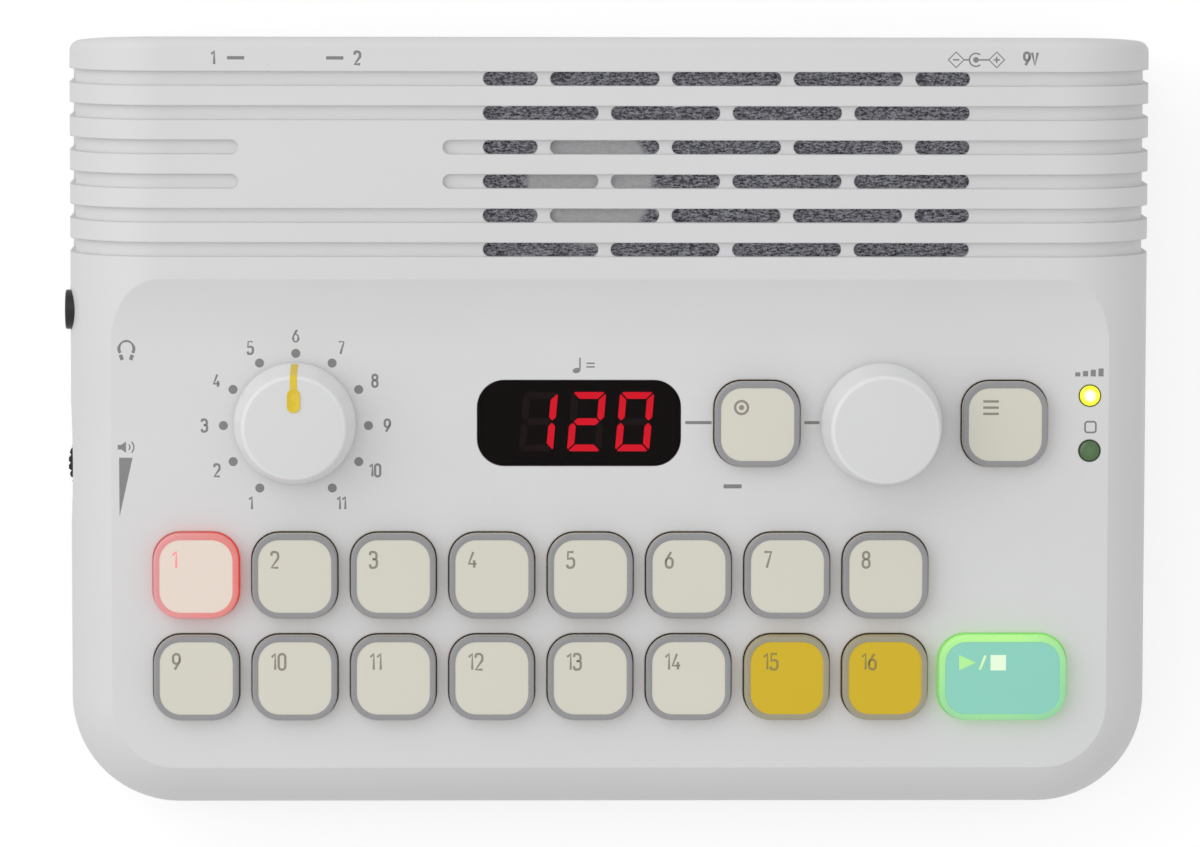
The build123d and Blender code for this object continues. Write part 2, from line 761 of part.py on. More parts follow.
def small_screws(places, plane, up):
    """Screws whose heads seat on a plane from its far side, with shanks pointing up or down."""
    with BuildPart() as screws:
        with BuildSketch(plane):
            with Locations(*places):
                Circle(small_head / 2)
        extrude(amount=-up * small_head_height)
        with BuildSketch(plane):
            with Locations(*places):
                Circle(small_screw / 2)
        extrude(amount=up * small_screw_length)
    return screws


speaker_screws = small_screws(speaker_posts, panel.offset(-speaker_sink - speaker_rim), 1)
write(speaker_screws, "speaker_screws")

# ================================================================ circuit boards
with BuildPart() as panel_board:
    with BuildSketch(panel.offset(board_w)):
        with Locations((0, panel_board_front)):
            Rectangle(panel_board_width, panel_board_back - panel_board_front,
                      align=(Align.CENTER, Align.MIN))
        with Locations((wing_left, wing_front)):
            Rectangle(wing_right - wing_left, wing_back - wing_front, align=(Align.MIN, Align.MIN))
        with Locations(*post_places):
            Circle(small_screw / 2 + fit_gap, mode=Mode.SUBTRACT)
    extrude(amount=-board_thickness)

write(panel_board, "panel_board")

panel_screws = small_screws(post_places, panel.offset(under_board), 1)
write(panel_screws, "panel_screws")

with BuildPart() as main_board:
    with BuildSketch(Plane.XY.offset(main_board_height)):
        with Locations((0, main_board_front)):
            Rectangle(main_board_width, board_rear - main_board_front, align=(Align.CENTER, Align.MIN))
        with Locations(*main_posts):
            Circle(small_screw / 2 + fit_gap, mode=Mode.SUBTRACT)
    extrude(amount=board_thickness)

write(main_board, "main_board")

main_screws = small_screws(main_posts, Plane.XY.offset(board_top_z), -1)
write(main_screws, "main_screws")

with BuildPart() as ribbon_cable:
    ribbon_start = panel.from_local_coords((ribbon_x, ribbon_v, under_board))
    ribbon_turn = ribbon_start - normal * ribbon_drop
    ribbon_y = main_board_front + ribbon_drop
    with BuildLine() as ribbon_path:
        FilletPolyline(ribbon_start, ribbon_turn, (ribbon_x, ribbon_y, board_top_z + ribbon_drop),
                       (ribbon_x, ribbon_y, board_top_z), radius=ribbon_bend)
    with BuildSketch(Plane(origin=ribbon_path.line @ 0, x_dir=(1, 0, 0), z_dir=ribbon_path.line % 0)):
        Rectangle(ribbon_width, ribbon_thickness)
    sweep()

write(ribbon_cable, "ribbon_cable")

# One small switch under each key, drawn with its plunger pressed down, and a lamp beside it
with BuildPart() as key_switches:
    for name, x, v, width in keys:
        with BuildSketch(panel.offset(board_w)):
            with Locations((x, v)):
                Rectangle(tact_size, tact_size)
        extrude(amount=tact_height)
        with BuildSketch(panel.offset(board_w + tact_height)):
            with Locations((x, v)):
                Circle(tact_plunger / 2)
        extrude(amount=plunger_top - board_w - tact_height)

write(key_switches, "key_switches")

with BuildPart() as key_lamps:
    with BuildSketch(panel.offset(board_w)):
        for name, x, v, width in lit_keys:
            with Locations((x, v + key_lamp_v)):
                Rectangle(key_lamp_size, key_lamp_size)
    extrude(amount=key_lamp_height)

write(key_lamps, "key_lamps")

# ================================================================ keys
for name, x, v, width in keys:
    with BuildPart() as key:
        with BuildSketch(panel.offset(flange_top)):
            with Locations((x, v)):
                RectangleRounded(width + 2 * flange_reach, key_size + 2 * flange_reach,
                                 key_corner + flange_reach)
        extrude(amount=-key_flange_thickness)
        with BuildSketch(panel.offset(flange_bottom)):
            with Locations((x, v)):
                RectangleRounded(width, key_size, key_corner)
        extrude(amount=key_rise - flange_bottom)
        fillet(key.faces().sort_by(Axis((0, 0, 0), normal))[-1].edges(), key_edge)
        with BuildSketch(panel.offset(key_rise)):
            with Locations((x, v)):
                RectangleRounded(width - 2 * key_face_inset, key_size - 2 * key_face_inset,
                                 key_corner - key_face_inset)
        extrude(amount=-key_face_drop, mode=Mode.SUBTRACT)
        with BuildSketch(panel.offset(flange_bottom)):
            with Locations((x, v)):
                RectangleRounded(width - 2 * key_wall, key_size - 2 * key_wall, key_corner - key_wall)
        extrude(amount=key_rise - key_roof - flange_bottom, mode=Mode.SUBTRACT)
        with BuildSketch(panel.offset(stem_bottom)):
            with Locations((x, v)):
                Circle(stem_diameter / 2)
        extrude(amount=key_rise - key_roof / 2 - stem_bottom)
    write(key, name)

# ================================================================ display and lamps
with BuildPart() as display_window:
    with BuildSketch(panel.offset(-window_recess)):
        with Locations((window_x, 0)):
            RectangleRounded(window_width, window_height, window_corner)
    extrude(amount=window_recess - wall)
    with BuildSketch(panel.offset(-wall)):
        with Locations((window_x, 0)):
            RectangleRounded(window_width + 2 * window_lip, window_height + 2 * window_lip,
                             window_corner + window_lip)
    extrude(amount=-window_lip_thickness)

write(display_window, "display_window")

module_top = -wall - window_lip_thickness - module_gap
with BuildPart() as display_module:
    with BuildSketch(panel.offset(board_w)):
        with Locations((window_x, 0)):
            Rectangle(module_width, module_height)
    extrude(amount=module_top - segment_rise - board_w)
    # Three digits of seven bars each, leaning a little to the right
    bar = digit_height / 2
    lean = tan(radians(digit_slant))
    with BuildSketch(panel.offset(module_top - segment_rise)):
        for digit in range(digit_count):
            digit_x = window_x + (digit - (digit_count - 1) / 2) * digit_pitch
            for height in (segment_width / 2 - bar, 0, bar - segment_width / 2):
                with Locations((digit_x + height * lean, height)):
                    Rectangle(digit_width - 2 * segment_width, segment_width)
            for height in (-bar / 2, bar / 2):
                for edge in (segment_width - digit_width, digit_width - segment_width):
                    with Locations((digit_x + height * lean + edge / 2, height)):
                        Rectangle(segment_width, bar - segment_width - segment_gap, rotation=-digit_slant)
    extrude(amount=segment_rise)

write(display_module, "display_module")

for lamp_name, (x, v) in zip(("lamp_yellow", "lamp_green"), lamp_places):
    with BuildPart() as lamp:
        with BuildSketch(panel.offset(board_w)):
            with Locations((x, v)):
                Circle(lamp_diameter / 2 - fit_gap / 2)
        extrude(amount=lamp_rise - board_w)
        fillet(lamp.faces().sort_by(Axis((0, 0, 0), normal))[-1].edges(), lamp_dome)
    write(lamp, lamp_name)

# ================================================================ knobs, their shafts and controls
knob_base_r = knob_diameter / 2
knob_top_r = knob_top_diameter / 2


def knob_skin(x, height, grow):
    """A knob's outer form as a solid, grown by an allowance on its sides and top."""
    with BuildPart() as skin:
        with BuildSketch(upright(x, 0)):
            with BuildLine():
                FilletPolyline((0, height + grow), (knob_top_r + grow, height + grow),
                               (knob_base_r + grow, knob_float), radius=knob_edge + grow)
                Polyline((knob_base_r + grow, knob_float), (0, knob_float), (0, height + grow))
            make_face()
        revolve(axis=panel_axis(x, 0))
    return skin.part


def shaft_section(x, gap):
    """The flatted end of a control's shaft, or the hole for it."""
    with BuildSketch() as section:
        with Locations((x, 0)):
            Circle(shaft_diameter / 2 + gap)
        with Locations((x, shaft_flat + gap)):
            Rectangle(2 * shaft_diameter, shaft_diameter, align=(Align.CENTER, Align.MIN),
                      mode=Mode.SUBTRACT)
    return section.sketch


def make_knob(x, height):
    with BuildPart() as knob:
        add(knob_skin(x, height, 0))
        with BuildSketch(panel.offset(knob_float)):
            with Locations((x, 0)):
                Circle(knob_top_r - knob_wall)
                Circle(hub_diameter / 2, mode=Mode.SUBTRACT)
        extrude(amount=height - knob_wall - knob_float, mode=Mode.SUBTRACT)
        with BuildSketch(panel.offset(knob_float)):
            with Locations((x, 0)):
                Circle(hub_diameter / 2)
        extrude(amount=hub_start - knob_float, mode=Mode.SUBTRACT)
        with BuildSketch(panel.offset(hub_start)):
            add(shaft_section(x, seat_gap))
        extrude(amount=height - knob_wall - hub_start, mode=Mode.SUBTRACT)
    return knob


def make_shaft(x, height):
    with BuildPart() as shaft:
        with BuildSketch(panel.offset(-shaft_root)):
            with Locations((x, 0)):
                Circle(shaft_diameter / 2)
        extrude(amount=shaft_root + bush_rise)
        with BuildSketch(panel.offset(bush_rise)):
            add(shaft_section(x, 0))
        extrude(amount=height - knob_wall - bush_rise - seat_gap)
    return shaft


def make_control(x):
    with BuildPart() as control:
        with BuildSketch(panel.offset(board_w)):
            with Locations((x, 0)):
                RectangleRounded(control_body, control_body, control_corner)
        extrude(amount=control_body_height)
        with BuildSketch(panel.offset(board_w + control_body_height)):
            with Locations((x, 0)):
                Circle(bush_diameter / 2)
        extrude(amount=bush_rise - board_w - control_body_height)
        with BuildSketch(panel.offset(-shaft_root - running_gap)):
            with Locations((x, 0)):
                Circle(shaft_diameter / 2 + running_gap)
        extrude(amount=far, mode=Mode.SUBTRACT)
    return control


# The pointer is an inlay: a narrow line up the skirt and over the edge, then a wider pad
with BuildPart() as selector_pointer:
    add(knob_skin(selector_x, selector_height, pointer_rise))
    add(knob_skin(selector_x, selector_height, -pointer_depth), mode=Mode.SUBTRACT)
    with BuildSketch(panel):
        with Locations((selector_x, pointer_pad_from)):
            Rectangle(pointer_width, knob_diameter, align=(Align.CENTER, Align.MIN))
        with Locations((selector_x, pointer_pad_from + pointer_pad_length / 2)):
            SlotOverall(pointer_pad_length, pointer_pad_width, rotation=90)
    extrude(amount=far, mode=Mode.INTERSECT)

selector_knob = make_knob(selector_x, selector_height)
with selector_knob:
    add(selector_pointer.part, mode=Mode.SUBTRACT)
write(selector_knob, "selector_knob")
write(selector_pointer, "selector_pointer")
write(make_shaft(selector_x, selector_height), "selector_shaft")
write(make_control(selector_x), "selector_switch")
write(make_knob(dial_x, dial_height), "value_dial")
write(make_shaft(dial_x, dial_height), "value_shaft")
write(make_control(dial_x), "value_encoder")

# ================================================================ volume wheel
with BuildPart() as volume_wheel:
    with BuildSketch(panel.offset(wheel_top)):
        with Locations((wheel_x, wheel_v)):
            Circle(wheel_diameter / 2)
            with PolarLocations(wheel_diameter / 2, wheel_ribs):
                Rectangle(wheel_groove, wheel_groove, rotation=45, mode=Mode.SUBTRACT)
    extrude(amount=-wheel_thickness)
    with BuildSketch(panel.offset(wheel_top)):
        with Locations((wheel_x, wheel_v)):
            Circle(wheel_stub / 2)
    extrude(amount=wheel_stub_length)

write(volume_wheel, "volume_wheel")

with BuildPart() as volume_pot:
    with BuildSketch(panel.offset(under_board)):
        with Locations((wheel_x, wheel_v)):
            Rectangle(pot_body, pot_body)
            Circle(wheel_stub / 2 + running_gap, mode=Mode.SUBTRACT)
    extrude(amount=-pot_height)

write(volume_pot, "volume_pot")

# ================================================================ sockets and power switch

with BuildPart() as headphone_jack:
    with BuildSketch(panel.offset(under_board)):
        with Locations((jack_body_x, jack_v)):
            Rectangle(jack_length, jack_width, align=(Align.MIN, Align.CENTER))
    extrude(amount=-jack_height)
    with BuildSketch(jack_plane):
        Circle(jack_barrel / 2)
    extrude(amount=jack_body_x - jack_face)
    with BuildSketch(jack_plane):
        Circle(small_plug / 2)
    extrude(amount=small_plug_length, mode=Mode.SUBTRACT)

write(headphone_jack, "headphone_jack")

with BuildPart() as headphone_collar:
    with BuildSketch(jack_plane):
        Circle(collar_diameter / 2)
        Circle(jack_barrel / 2 + seat_gap, mode=Mode.SUBTRACT)
    extrude(amount=collar_rise + wall)
    chamfer(headphone_collar.faces().sort_by(Axis.X)[0].edges(), collar_chamfer)

write(headphone_collar, "headphone_collar")

with BuildPart() as foot_jacks:
    for x in foot_jack_x:
        with BuildSketch(Plane.XY.offset(board_top_z)):
            with Locations((x, board_rear)):
                Rectangle(foot_jack_width, foot_jack_length, align=(Align.CENTER, Align.MAX))
        extrude(amount=foot_jack_height)
        with BuildSketch(Plane.XZ.offset(-half_d)):
            with Locations((x, foot_axis_z)):
                Circle(foot_collar / 2)
        extrude(amount=half_d - board_rear)
        with BuildSketch(Plane.XZ.offset(-half_d)):
            with Locations((x, foot_axis_z)):
                Circle(foot_plug / 2)
        extrude(amount=foot_plug_length, mode=Mode.SUBTRACT)

write(foot_jacks, "foot_jacks")

with BuildPart() as power_jack:
    with BuildSketch(Plane.XY.offset(board_top_z)):
        with Locations((power_jack_x, board_rear)):
            Rectangle(power_jack_width, power_jack_length, align=(Align.CENTER, Align.MAX))
    extrude(amount=power_jack_height)
    with BuildSketch(Plane.XZ.offset(-half_d)):
        with Locations((power_jack_x, power_axis_z)):
            Circle(power_collar / 2)
    extrude(amount=half_d - board_rear)
    with BuildSketch(Plane.XZ.offset(-half_d)):
        with Locations((power_jack_x, power_axis_z)):
            Circle(power_jack_hole / 2)
            Circle(power_pin / 2, mode=Mode.SUBTRACT)
    extrude(amount=power_jack_hole_length, mode=Mode.SUBTRACT)

write(power_jack, "power_jack")

lever_inner = board_rear - switch_body_length / 2
with BuildPart() as power_switch_body:
    with BuildSketch(Plane.XY.offset(board_top_z)):
        with Locations((switch_x + switch_travel / 2, board_rear)):
            Rectangle(switch_body_width, switch_body_length, align=(Align.CENTER, Align.MAX))
    extrude(amount=switch_body_height)
    with BuildSketch(Plane.XZ.offset(-board_rear)):
        with Locations((switch_x + switch_travel / 2, switch_axis_z)):
            Rectangle(lever_way, switch_lever_height + 2 * running_gap)
    extrude(amount=board_rear - lever_inner + running_gap, mode=Mode.SUBTRACT)

write(power_switch_body, "power_switch_body")

with BuildPart() as power_switch_lever:
    with BuildSketch(Plane.XZ.offset(-(half_d - switch_gap))):
        with Locations((switch_x, switch_axis_z)):
            Rectangle(switch_lever_width, switch_lever_height)
    extrude(amount=half_d - switch_gap - lever_inner)
    with BuildSketch(Plane.XZ.offset(-(half_d - switch_gap))):
        with Locations((switch_x, switch_axis_z)):
            with GridLocations(switch_lever_width / 3, 0, 3, 1):
                Rectangle(switch_gap, switch_lever_height)
    extrude(amount=switch_gap, mode=Mode.SUBTRACT)

write(power_switch_lever, "power_switch_lever")
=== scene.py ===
from math import atan2, cos, pi, radians, sin, sqrt, tan

import bmesh
import bpy
from mathutils import Matrix, Vector, noise


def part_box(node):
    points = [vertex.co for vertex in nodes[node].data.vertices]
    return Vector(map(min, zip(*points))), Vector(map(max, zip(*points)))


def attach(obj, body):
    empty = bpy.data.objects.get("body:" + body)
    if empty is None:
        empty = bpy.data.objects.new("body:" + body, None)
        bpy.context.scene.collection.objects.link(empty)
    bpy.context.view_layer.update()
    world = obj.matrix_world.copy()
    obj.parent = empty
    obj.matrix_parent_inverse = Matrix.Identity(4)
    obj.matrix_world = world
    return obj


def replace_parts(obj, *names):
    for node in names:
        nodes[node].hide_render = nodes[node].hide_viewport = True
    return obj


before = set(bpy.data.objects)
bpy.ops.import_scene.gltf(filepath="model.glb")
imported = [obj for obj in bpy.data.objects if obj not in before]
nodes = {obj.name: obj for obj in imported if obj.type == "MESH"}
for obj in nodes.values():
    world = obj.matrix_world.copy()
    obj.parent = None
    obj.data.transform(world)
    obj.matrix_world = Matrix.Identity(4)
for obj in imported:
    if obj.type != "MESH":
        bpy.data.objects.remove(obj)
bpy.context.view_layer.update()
mm = 0.001
print("frame loaded:", len(nodes), "nodes")

# The sloping panel. Places on it are (x, v, w): across, up the slope, and out of its face, in mm.
panel = {"tilt": 5.0, "height": 47.794, "sweepStart": 14.724, "sweepRadius": 34.0}
panelTurn = Matrix.Rotation(radians(panel["tilt"]), 4, "X")
panelFrame = Matrix.Translation((0, 0, panel["height"] * mm)) @ panelTurn


def onPanel(x, v, w=0.0):
    return panelFrame @ Vector((x * mm, v * mm, w * mm))


# shared effects, used by several materials

def newGroup(name, inputs, outputs):
    group = bpy.data.node_groups.new(name, "ShaderNodeTree")
    for label, kind, value in inputs:
        socket = group.interface.new_socket(label, in_out="INPUT", socket_type=kind)
        if value is not None:
            socket.default_value = value
    for label, kind in outputs:
        group.interface.new_socket(label, in_out="OUTPUT", socket_type=kind)
    return group, group.nodes.new("NodeGroupInput"), group.nodes.new("NodeGroupOutput")


def addMath(tree, operation, first, second=None, third=None):
    node = tree.nodes.new("ShaderNodeMath")
    node.operation = operation
    for socket, value in zip(node.inputs, (first, second, third)):
        if value is None:
            continue
        if isinstance(value, bpy.types.NodeSocket):
            tree.links.new(value, socket)
        else:
            socket.default_value = value
    return node.outputs[0]


def addRange(tree, value, low, high, toLow=0.0, toHigh=1.0, smooth=False):
    node = tree.nodes.new("ShaderNodeMapRange")
    node.interpolation_type = "SMOOTHSTEP" if smooth else "LINEAR"
    tree.links.new(value, node.inputs["Value"])
    for label, limit in (("From Min", low), ("From Max", high), ("To Min", toLow), ("To Max", toHigh)):
        if isinstance(limit, bpy.types.NodeSocket):
            tree.links.new(limit, node.inputs[label])
        else:
            node.inputs[label].default_value = limit
    return node.outputs["Result"]


def addMix(tree, factor, first, second, blend="MIX"):
    node = tree.nodes.new("ShaderNodeMix")
    node.data_type = "RGBA"
    node.blend_type = blend
    for socket, value in ((node.inputs[0], factor), (node.inputs[6], first), (node.inputs[7], second)):
        if isinstance(value, bpy.types.NodeSocket):
            tree.links.new(value, socket)
        elif isinstance(value, (int, float)):
            socket.default_value = value
        else:
            socket.default_value = (*value, 1.0) if len(value) == 3 else value
    return node.outputs[2]


def addNoise(tree, vector, scale, detail=2.0, roughness=0.5, stretch=None):
    if stretch:
        mapping = tree.nodes.new("ShaderNodeMapping")
        mapping.inputs["Scale"].default_value = stretch
        tree.links.new(vector, mapping.inputs["Vector"])
        vector = mapping.outputs[0]
    node = tree.nodes.new("ShaderNodeTexNoise")
    tree.links.new(vector, node.inputs["Vector"])
    if isinstance(scale, bpy.types.NodeSocket):
        tree.links.new(scale, node.inputs["Scale"])
    else:
        node.inputs["Scale"].default_value = scale
    node.inputs["Detail"].default_value = detail
    node.inputs["Roughness"].default_value = roughness
    return node.outputs["Fac"]


grainLook = {"pits": 0.7, "pitDepth": 0.5, "drift": 22.0, "wipes": 90.0, "wipeStretch": (1.0, 0.4, 1.0),
             "fineShare": 0.5, "middle": 0.75}


def buildMouldGrain():
    g = grainLook
    group, inlet, outlet = newGroup("mouldGrain", [
        ("Grain Scale", "NodeSocketFloat", 2600.0), ("Tone Amount", "NodeSocketFloat", 0.03),
        ("Base Roughness", "NodeSocketFloat", 0.5), ("Roughness Spread", "NodeSocketFloat", 0.1)],
        [("Height", "NodeSocketFloat"), ("Tone", "NodeSocketFloat"), ("Roughness", "NodeSocketFloat")])
    place = group.nodes.new("ShaderNodeTexCoord").outputs["Object"]
    fine = addNoise(group, place, inlet.outputs["Grain Scale"], 2.0, 0.6)
    pits = group.nodes.new("ShaderNodeTexVoronoi")
    group.links.new(place, pits.inputs["Vector"])
    group.links.new(addMath(group, "MULTIPLY", inlet.outputs["Grain Scale"], g["pits"]), pits.inputs["Scale"])
    height = addMath(group, "ADD", fine, addMath(group, "MULTIPLY", pits.outputs["Distance"], g["pitDepth"]))
    drift = addNoise(group, place, g["drift"], 3.0, 0.55)
    wiped = addNoise(group, place, g["wipes"], 4.0, 0.6, stretch=g["wipeStretch"])
    tone = addRange(group, drift, 0.3, 0.7, -1.0, 1.0)
    tone = addMath(group, "MULTIPLY_ADD", tone, inlet.outputs["Tone Amount"], 1.0)
    rough = addMath(group, "ADD", wiped, addMath(group, "MULTIPLY", fine, g["fineShare"]))
    rough = addMath(group, "SUBTRACT", rough, g["middle"])
    rough = addMath(group, "MULTIPLY_ADD", rough, inlet.outputs["Roughness Spread"],
                    inlet.outputs["Base Roughness"])
    group.links.new(height, outlet.inputs["Height"])
    group.links.new(tone, outlet.inputs["Tone"])
    group.links.new(rough, outlet.inputs["Roughness"])
    return group


wearLook = {"patches": 240.0, "patchLow": 0.35, "patchHigh": 0.7}


def buildEdgeWear():
    group, inlet, outlet = newGroup("edgeWear", [
        ("Low", "NodeSocketFloat", 0.52), ("High", "NodeSocketFloat", 0.62),
        ("Break Up", "NodeSocketFloat", 0.6)],
        [("Mask", "NodeSocketFloat")])
    raised = group.nodes.new("ShaderNodeNewGeometry").outputs["Pointiness"]
    place = group.nodes.new("ShaderNodeTexCoord").outputs["Object"]
    edge = addRange(group, raised, inlet.outputs["Low"], inlet.outputs["High"], smooth=True)
    patches = addNoise(group, place, wearLook["patches"], 4.0, 0.65)
    patches = addRange(group, patches, wearLook["patchLow"], wearLook["patchHigh"])
    broken = addMath(group, "MULTIPLY", edge, patches)
    mixed = group.nodes.new("ShaderNodeMix")
    group.links.new(inlet.outputs["Break Up"], mixed.inputs[0])
    group.links.new(edge, mixed.inputs[2])
    group.links.new(broken, mixed.inputs[3])
    group.links.new(mixed.outputs[0], outlet.inputs["Mask"])
    return group


def buildGlowSpot():
    group, inlet, outlet = newGroup("glowSpot", [
        ("Centre", "NodeSocketVector", None), ("Inner Radius", "NodeSocketFloat", 0.0005),
        ("Outer Radius", "NodeSocketFloat", 0.002)],
        [("Mask", "NodeSocketFloat")])
    place = group.nodes.new("ShaderNodeTexCoord").outputs["Object"]
    apart = group.nodes.new("ShaderNodeVectorMath")
    apart.operation = "DISTANCE"
    group.links.new(place, apart.inputs[0])
    group.links.new(inlet.outputs["Centre"], apart.inputs[1])
    mask = addRange(group, apart.outputs["Value"], inlet.outputs["Outer Radius"],
                    inlet.outputs["Inner Radius"], smooth=True)
    group.links.new(mask, outlet.inputs["Mask"])
    return group


mouldGrain = buildMouldGrain()
edgeWear = buildEdgeWear()
glowSpot = buildGlowSpot()


def srgb(text):
    channels = [int(text[i:i + 2], 16) / 255 for i in (1, 3, 5)]
    return tuple(c / 12.92 if c <= 0.04045 else ((c + 0.055) / 1.055) ** 2.4 for c in channels)


def placeGroup(tree, group, **values):
    node = tree.nodes.new("ShaderNodeGroup")
    node.node_tree = group
    for label, value in values.items():
        node.inputs[label].default_value = value
    return node


def addGrain(tree, grain, tone, roughness, spread):
    return placeGroup(tree, mouldGrain, **{"Grain Scale": grain, "Tone Amount": tone,
                                           "Base Roughness": roughness, "Roughness Spread": spread})


def addTone(tree, color, grain):
    return addMix(tree, 1.0, srgb(color), grain.outputs["Tone"], "MULTIPLY")


def addSpot(tree, centre, inner, outer):
    spot = placeGroup(tree, glowSpot, **{"Centre": centre, "Inner Radius": inner, "Outer Radius": outer})
    return spot.outputs["Mask"]


def plainMaterial(name):
    material = bpy.data.materials.new(name)
    material.use_nodes = True
    return material, material.node_tree, material.node_tree.nodes["Principled BSDF"]


def addBump(tree, shader, height, strength, distance, rounding=None):
    bump = tree.nodes.new("ShaderNodeBump")
    bump.inputs["Strength"].default_value = strength
    bump.inputs["Distance"].default_value = distance
    tree.links.new(height, bump.inputs["Height"])
    if rounding:
        bevel = tree.nodes.new("ShaderNodeBevel")
        bevel.samples = 4
        bevel.inputs["Radius"].default_value = rounding
        tree.links.new(bevel.outputs[0], bump.inputs["Normal"])
    tree.links.new(bump.outputs[0], shader.inputs["Normal"])


# A moulded plastic: its grain, slight drift of tone, and edges that have been rubbed a little
def mouldedPlastic(name, color, worn=None, **s):
    material, tree, shader = plainMaterial(name)
    grain = addGrain(tree, s.get("grain", 2600.0), s.get("tone", 0.02), s.get("roughness", 0.5),
                     s.get("spread", 0.12))
    wear = placeGroup(tree, edgeWear, **{"Low": 0.53, "High": 0.68})
    amount = addMath(tree, "MULTIPLY", wear.outputs["Mask"], s.get("wear", 0.35))
    rubbed = addMix(tree, amount, addTone(tree, color, grain), srgb(worn or color))
    tree.links.new(rubbed, shader.inputs["Base Color"])
    tree.links.new(grain.outputs["Roughness"], shader.inputs["Roughness"])
    shader.inputs["Specular IOR Level"].default_value = s.get("specular", 0.5)
    shader.inputs["Coat Weight"].default_value = s.get("coat", 0.0)
    shader.inputs["Coat Roughness"].default_value = 0.15
    shader.inputs["Subsurface Weight"].default_value = s.get("subsurface", 0.0)
    shader.inputs["Subsurface Scale"].default_value = 0.002
    # an optional faint glow: painted light that brightens a surface
    if "paintedGlow" in s:
        shader.inputs["Emission Color"].default_value = (1, 1, 1, 1)
        shader.inputs["Emission Strength"].default_value = s["paintedGlow"]
    if "metallic" in s:
        shader.inputs["Metallic"].default_value = s["metallic"]
    addBump(tree, shader, grain.outputs["Height"], s.get("bump", 0.25), s.get("bumpDepth", 0.00002),
            s.get("rounding"))
    return material


finishes = {
    "case": dict(color="#E1E1E2", worn="#E9E9E9", roughness=0.46, spread=0.10, tone=0.012, grain=2400.0,
                 bump=0.30, rounding=0.0004, wear=0.25),
    "base": dict(color="#DFDFE0", worn="#EAEAEA", roughness=0.55, tone=0.015, grain=1500.0, bump=0.5,
                 bumpDepth=0.00004, rounding=0.0004),
    "rubber": dict(color="#262628", worn="#3A3A3C", roughness=0.82, tone=0.08, grain=1300.0, bump=0.5,
                   specular=0.3),
    "blackPlastic": dict(color="#17181A", worn="#34363A", roughness=0.42, tone=0.06, grain=2000.0, bump=0.3,
                         rounding=0.0002),
    "knob": dict(color="#E2E2E3", worn="#EEEEEE", roughness=0.44, tone=0.008, grain=3000.0, bump=0.2,
                 subsurface=0.05),
    # the knob's sides: the knob plastic made lighter and given a faint glow, painted light standing in for
    # the light the sides catch from all round
    "knobSide": dict(color="#E7E7E8", worn="#F6F6F6", roughness=0.44, tone=0.008, grain=3000.0, bump=0.2,
                     subsurface=0.05, wear=0.6, paintedGlow=0.028),
    "pointer": dict(color="#E8C92A", worn="#F0D955", roughness=0.4, tone=0.04, grain=2500.0, bump=0.25),
    "steel": dict(color="#A9ABAE", worn="#D5D6D8", roughness=0.32, tone=0.06, grain=1800.0, bump=0.2,
                  metallic=1.0),
    "board": dict(color="#145A33", worn="#2A7A4C", roughness=0.35, tone=0.12, grain=900.0, bump=0.2,
                  coat=0.3),
    "paper": dict(color="#8E8D86", worn="#A4A39B", roughness=0.85, tone=0.08, grain=1100.0, bump=0.6),
    "magnet": dict(color="#4B4C50", worn="#75767A", roughness=0.45, tone=0.08, grain=1300.0, bump=0.4,
                   metallic=0.8),
    "foam": dict(color="#232325", worn="#303033", roughness=0.95, tone=0.12, grain=700.0, bump=0.9),
    "cell": dict(color="#3A3F45", worn="#6A6F75", roughness=0.35, tone=0.05, grain=1500.0, bump=0.1),
    "ribbon": dict(color="#BFC0C0", worn="#D0D0D0", roughness=0.5, tone=0.06, grain=1200.0, bump=0.3),
    "lampChip": dict(color="#E8E6C8", worn="#F0EFE0", roughness=0.3, tone=0.05, grain=1500.0, bump=0.1),
    "greyInk": dict(color="#878786", worn="#A0A09F", roughness=0.55, tone=0.03, grain=3200.0, bump=0.2,
                    wear=0.2),
}
made = {name: mouldedPlastic(name, **values) for name, values in finishes.items()}
print("materials:", len(made))

nodeFinish = {
    "case": ["upper_case"],
    "base": ["lower_case", "battery_door"],
    "rubber": ["rubber_feet"],
    "steel": ["case_screws", "battery_contacts", "battery_springs", "speaker_basket", "speaker_screws",
              "panel_screws", "main_screws", "selector_shaft", "value_shaft"],
    "board": ["panel_board", "main_board"],
    "foam": ["speaker_gasket"],
    "paper": ["speaker_cone"],
    "magnet": ["speaker_magnet"],
    "cell": ["battery_cells"],
    "ribbon": ["ribbon_cable"],
    "lampChip": ["key_lamps"],
    "blackPlastic": ["key_switches", "selector_switch", "value_encoder", "volume_wheel", "volume_pot",
                     "headphone_jack", "headphone_collar", "foot_jacks", "power_jack", "power_switch_body",
                     "power_switch_lever", "display_module"],
}
for finish, names in nodeFinish.items():
    for name in names:
        nodes[name].data.materials.clear()
        nodes[name].data.materials.append(made[finish])


def roundedLoop(width, height, corner, steps=8):
    corner = min(corner, width / 2 - 1e-4, height / 2 - 1e-4)
    points = []
    for turn, (sx, sy) in enumerate(((1, 1), (-1, 1), (-1, -1), (1, -1))):
        for i in range(steps + 1):
            a = pi / 2 * (turn + i / steps)
            points.append((sx * (width / 2 - corner) + corner * cos(a),
                           sy * (height / 2 - corner) + corner * sin(a)))
    return points


def circle(x, y, radius, steps=24):
    turns = [2 * pi * i / steps for i in range(steps)]
    return [(x + radius * cos(a), y + radius * sin(a)) for a in turns]


def arc(x, y, radius, start, end, step=10):
    turns = [radians(a) for a in range(start, end + 1, step)]
    return [(x + radius * cos(a), y + radius * sin(a)) for a in turns]


def moved(points, x, y):
    return [(x + px, y + py) for px, py in points]


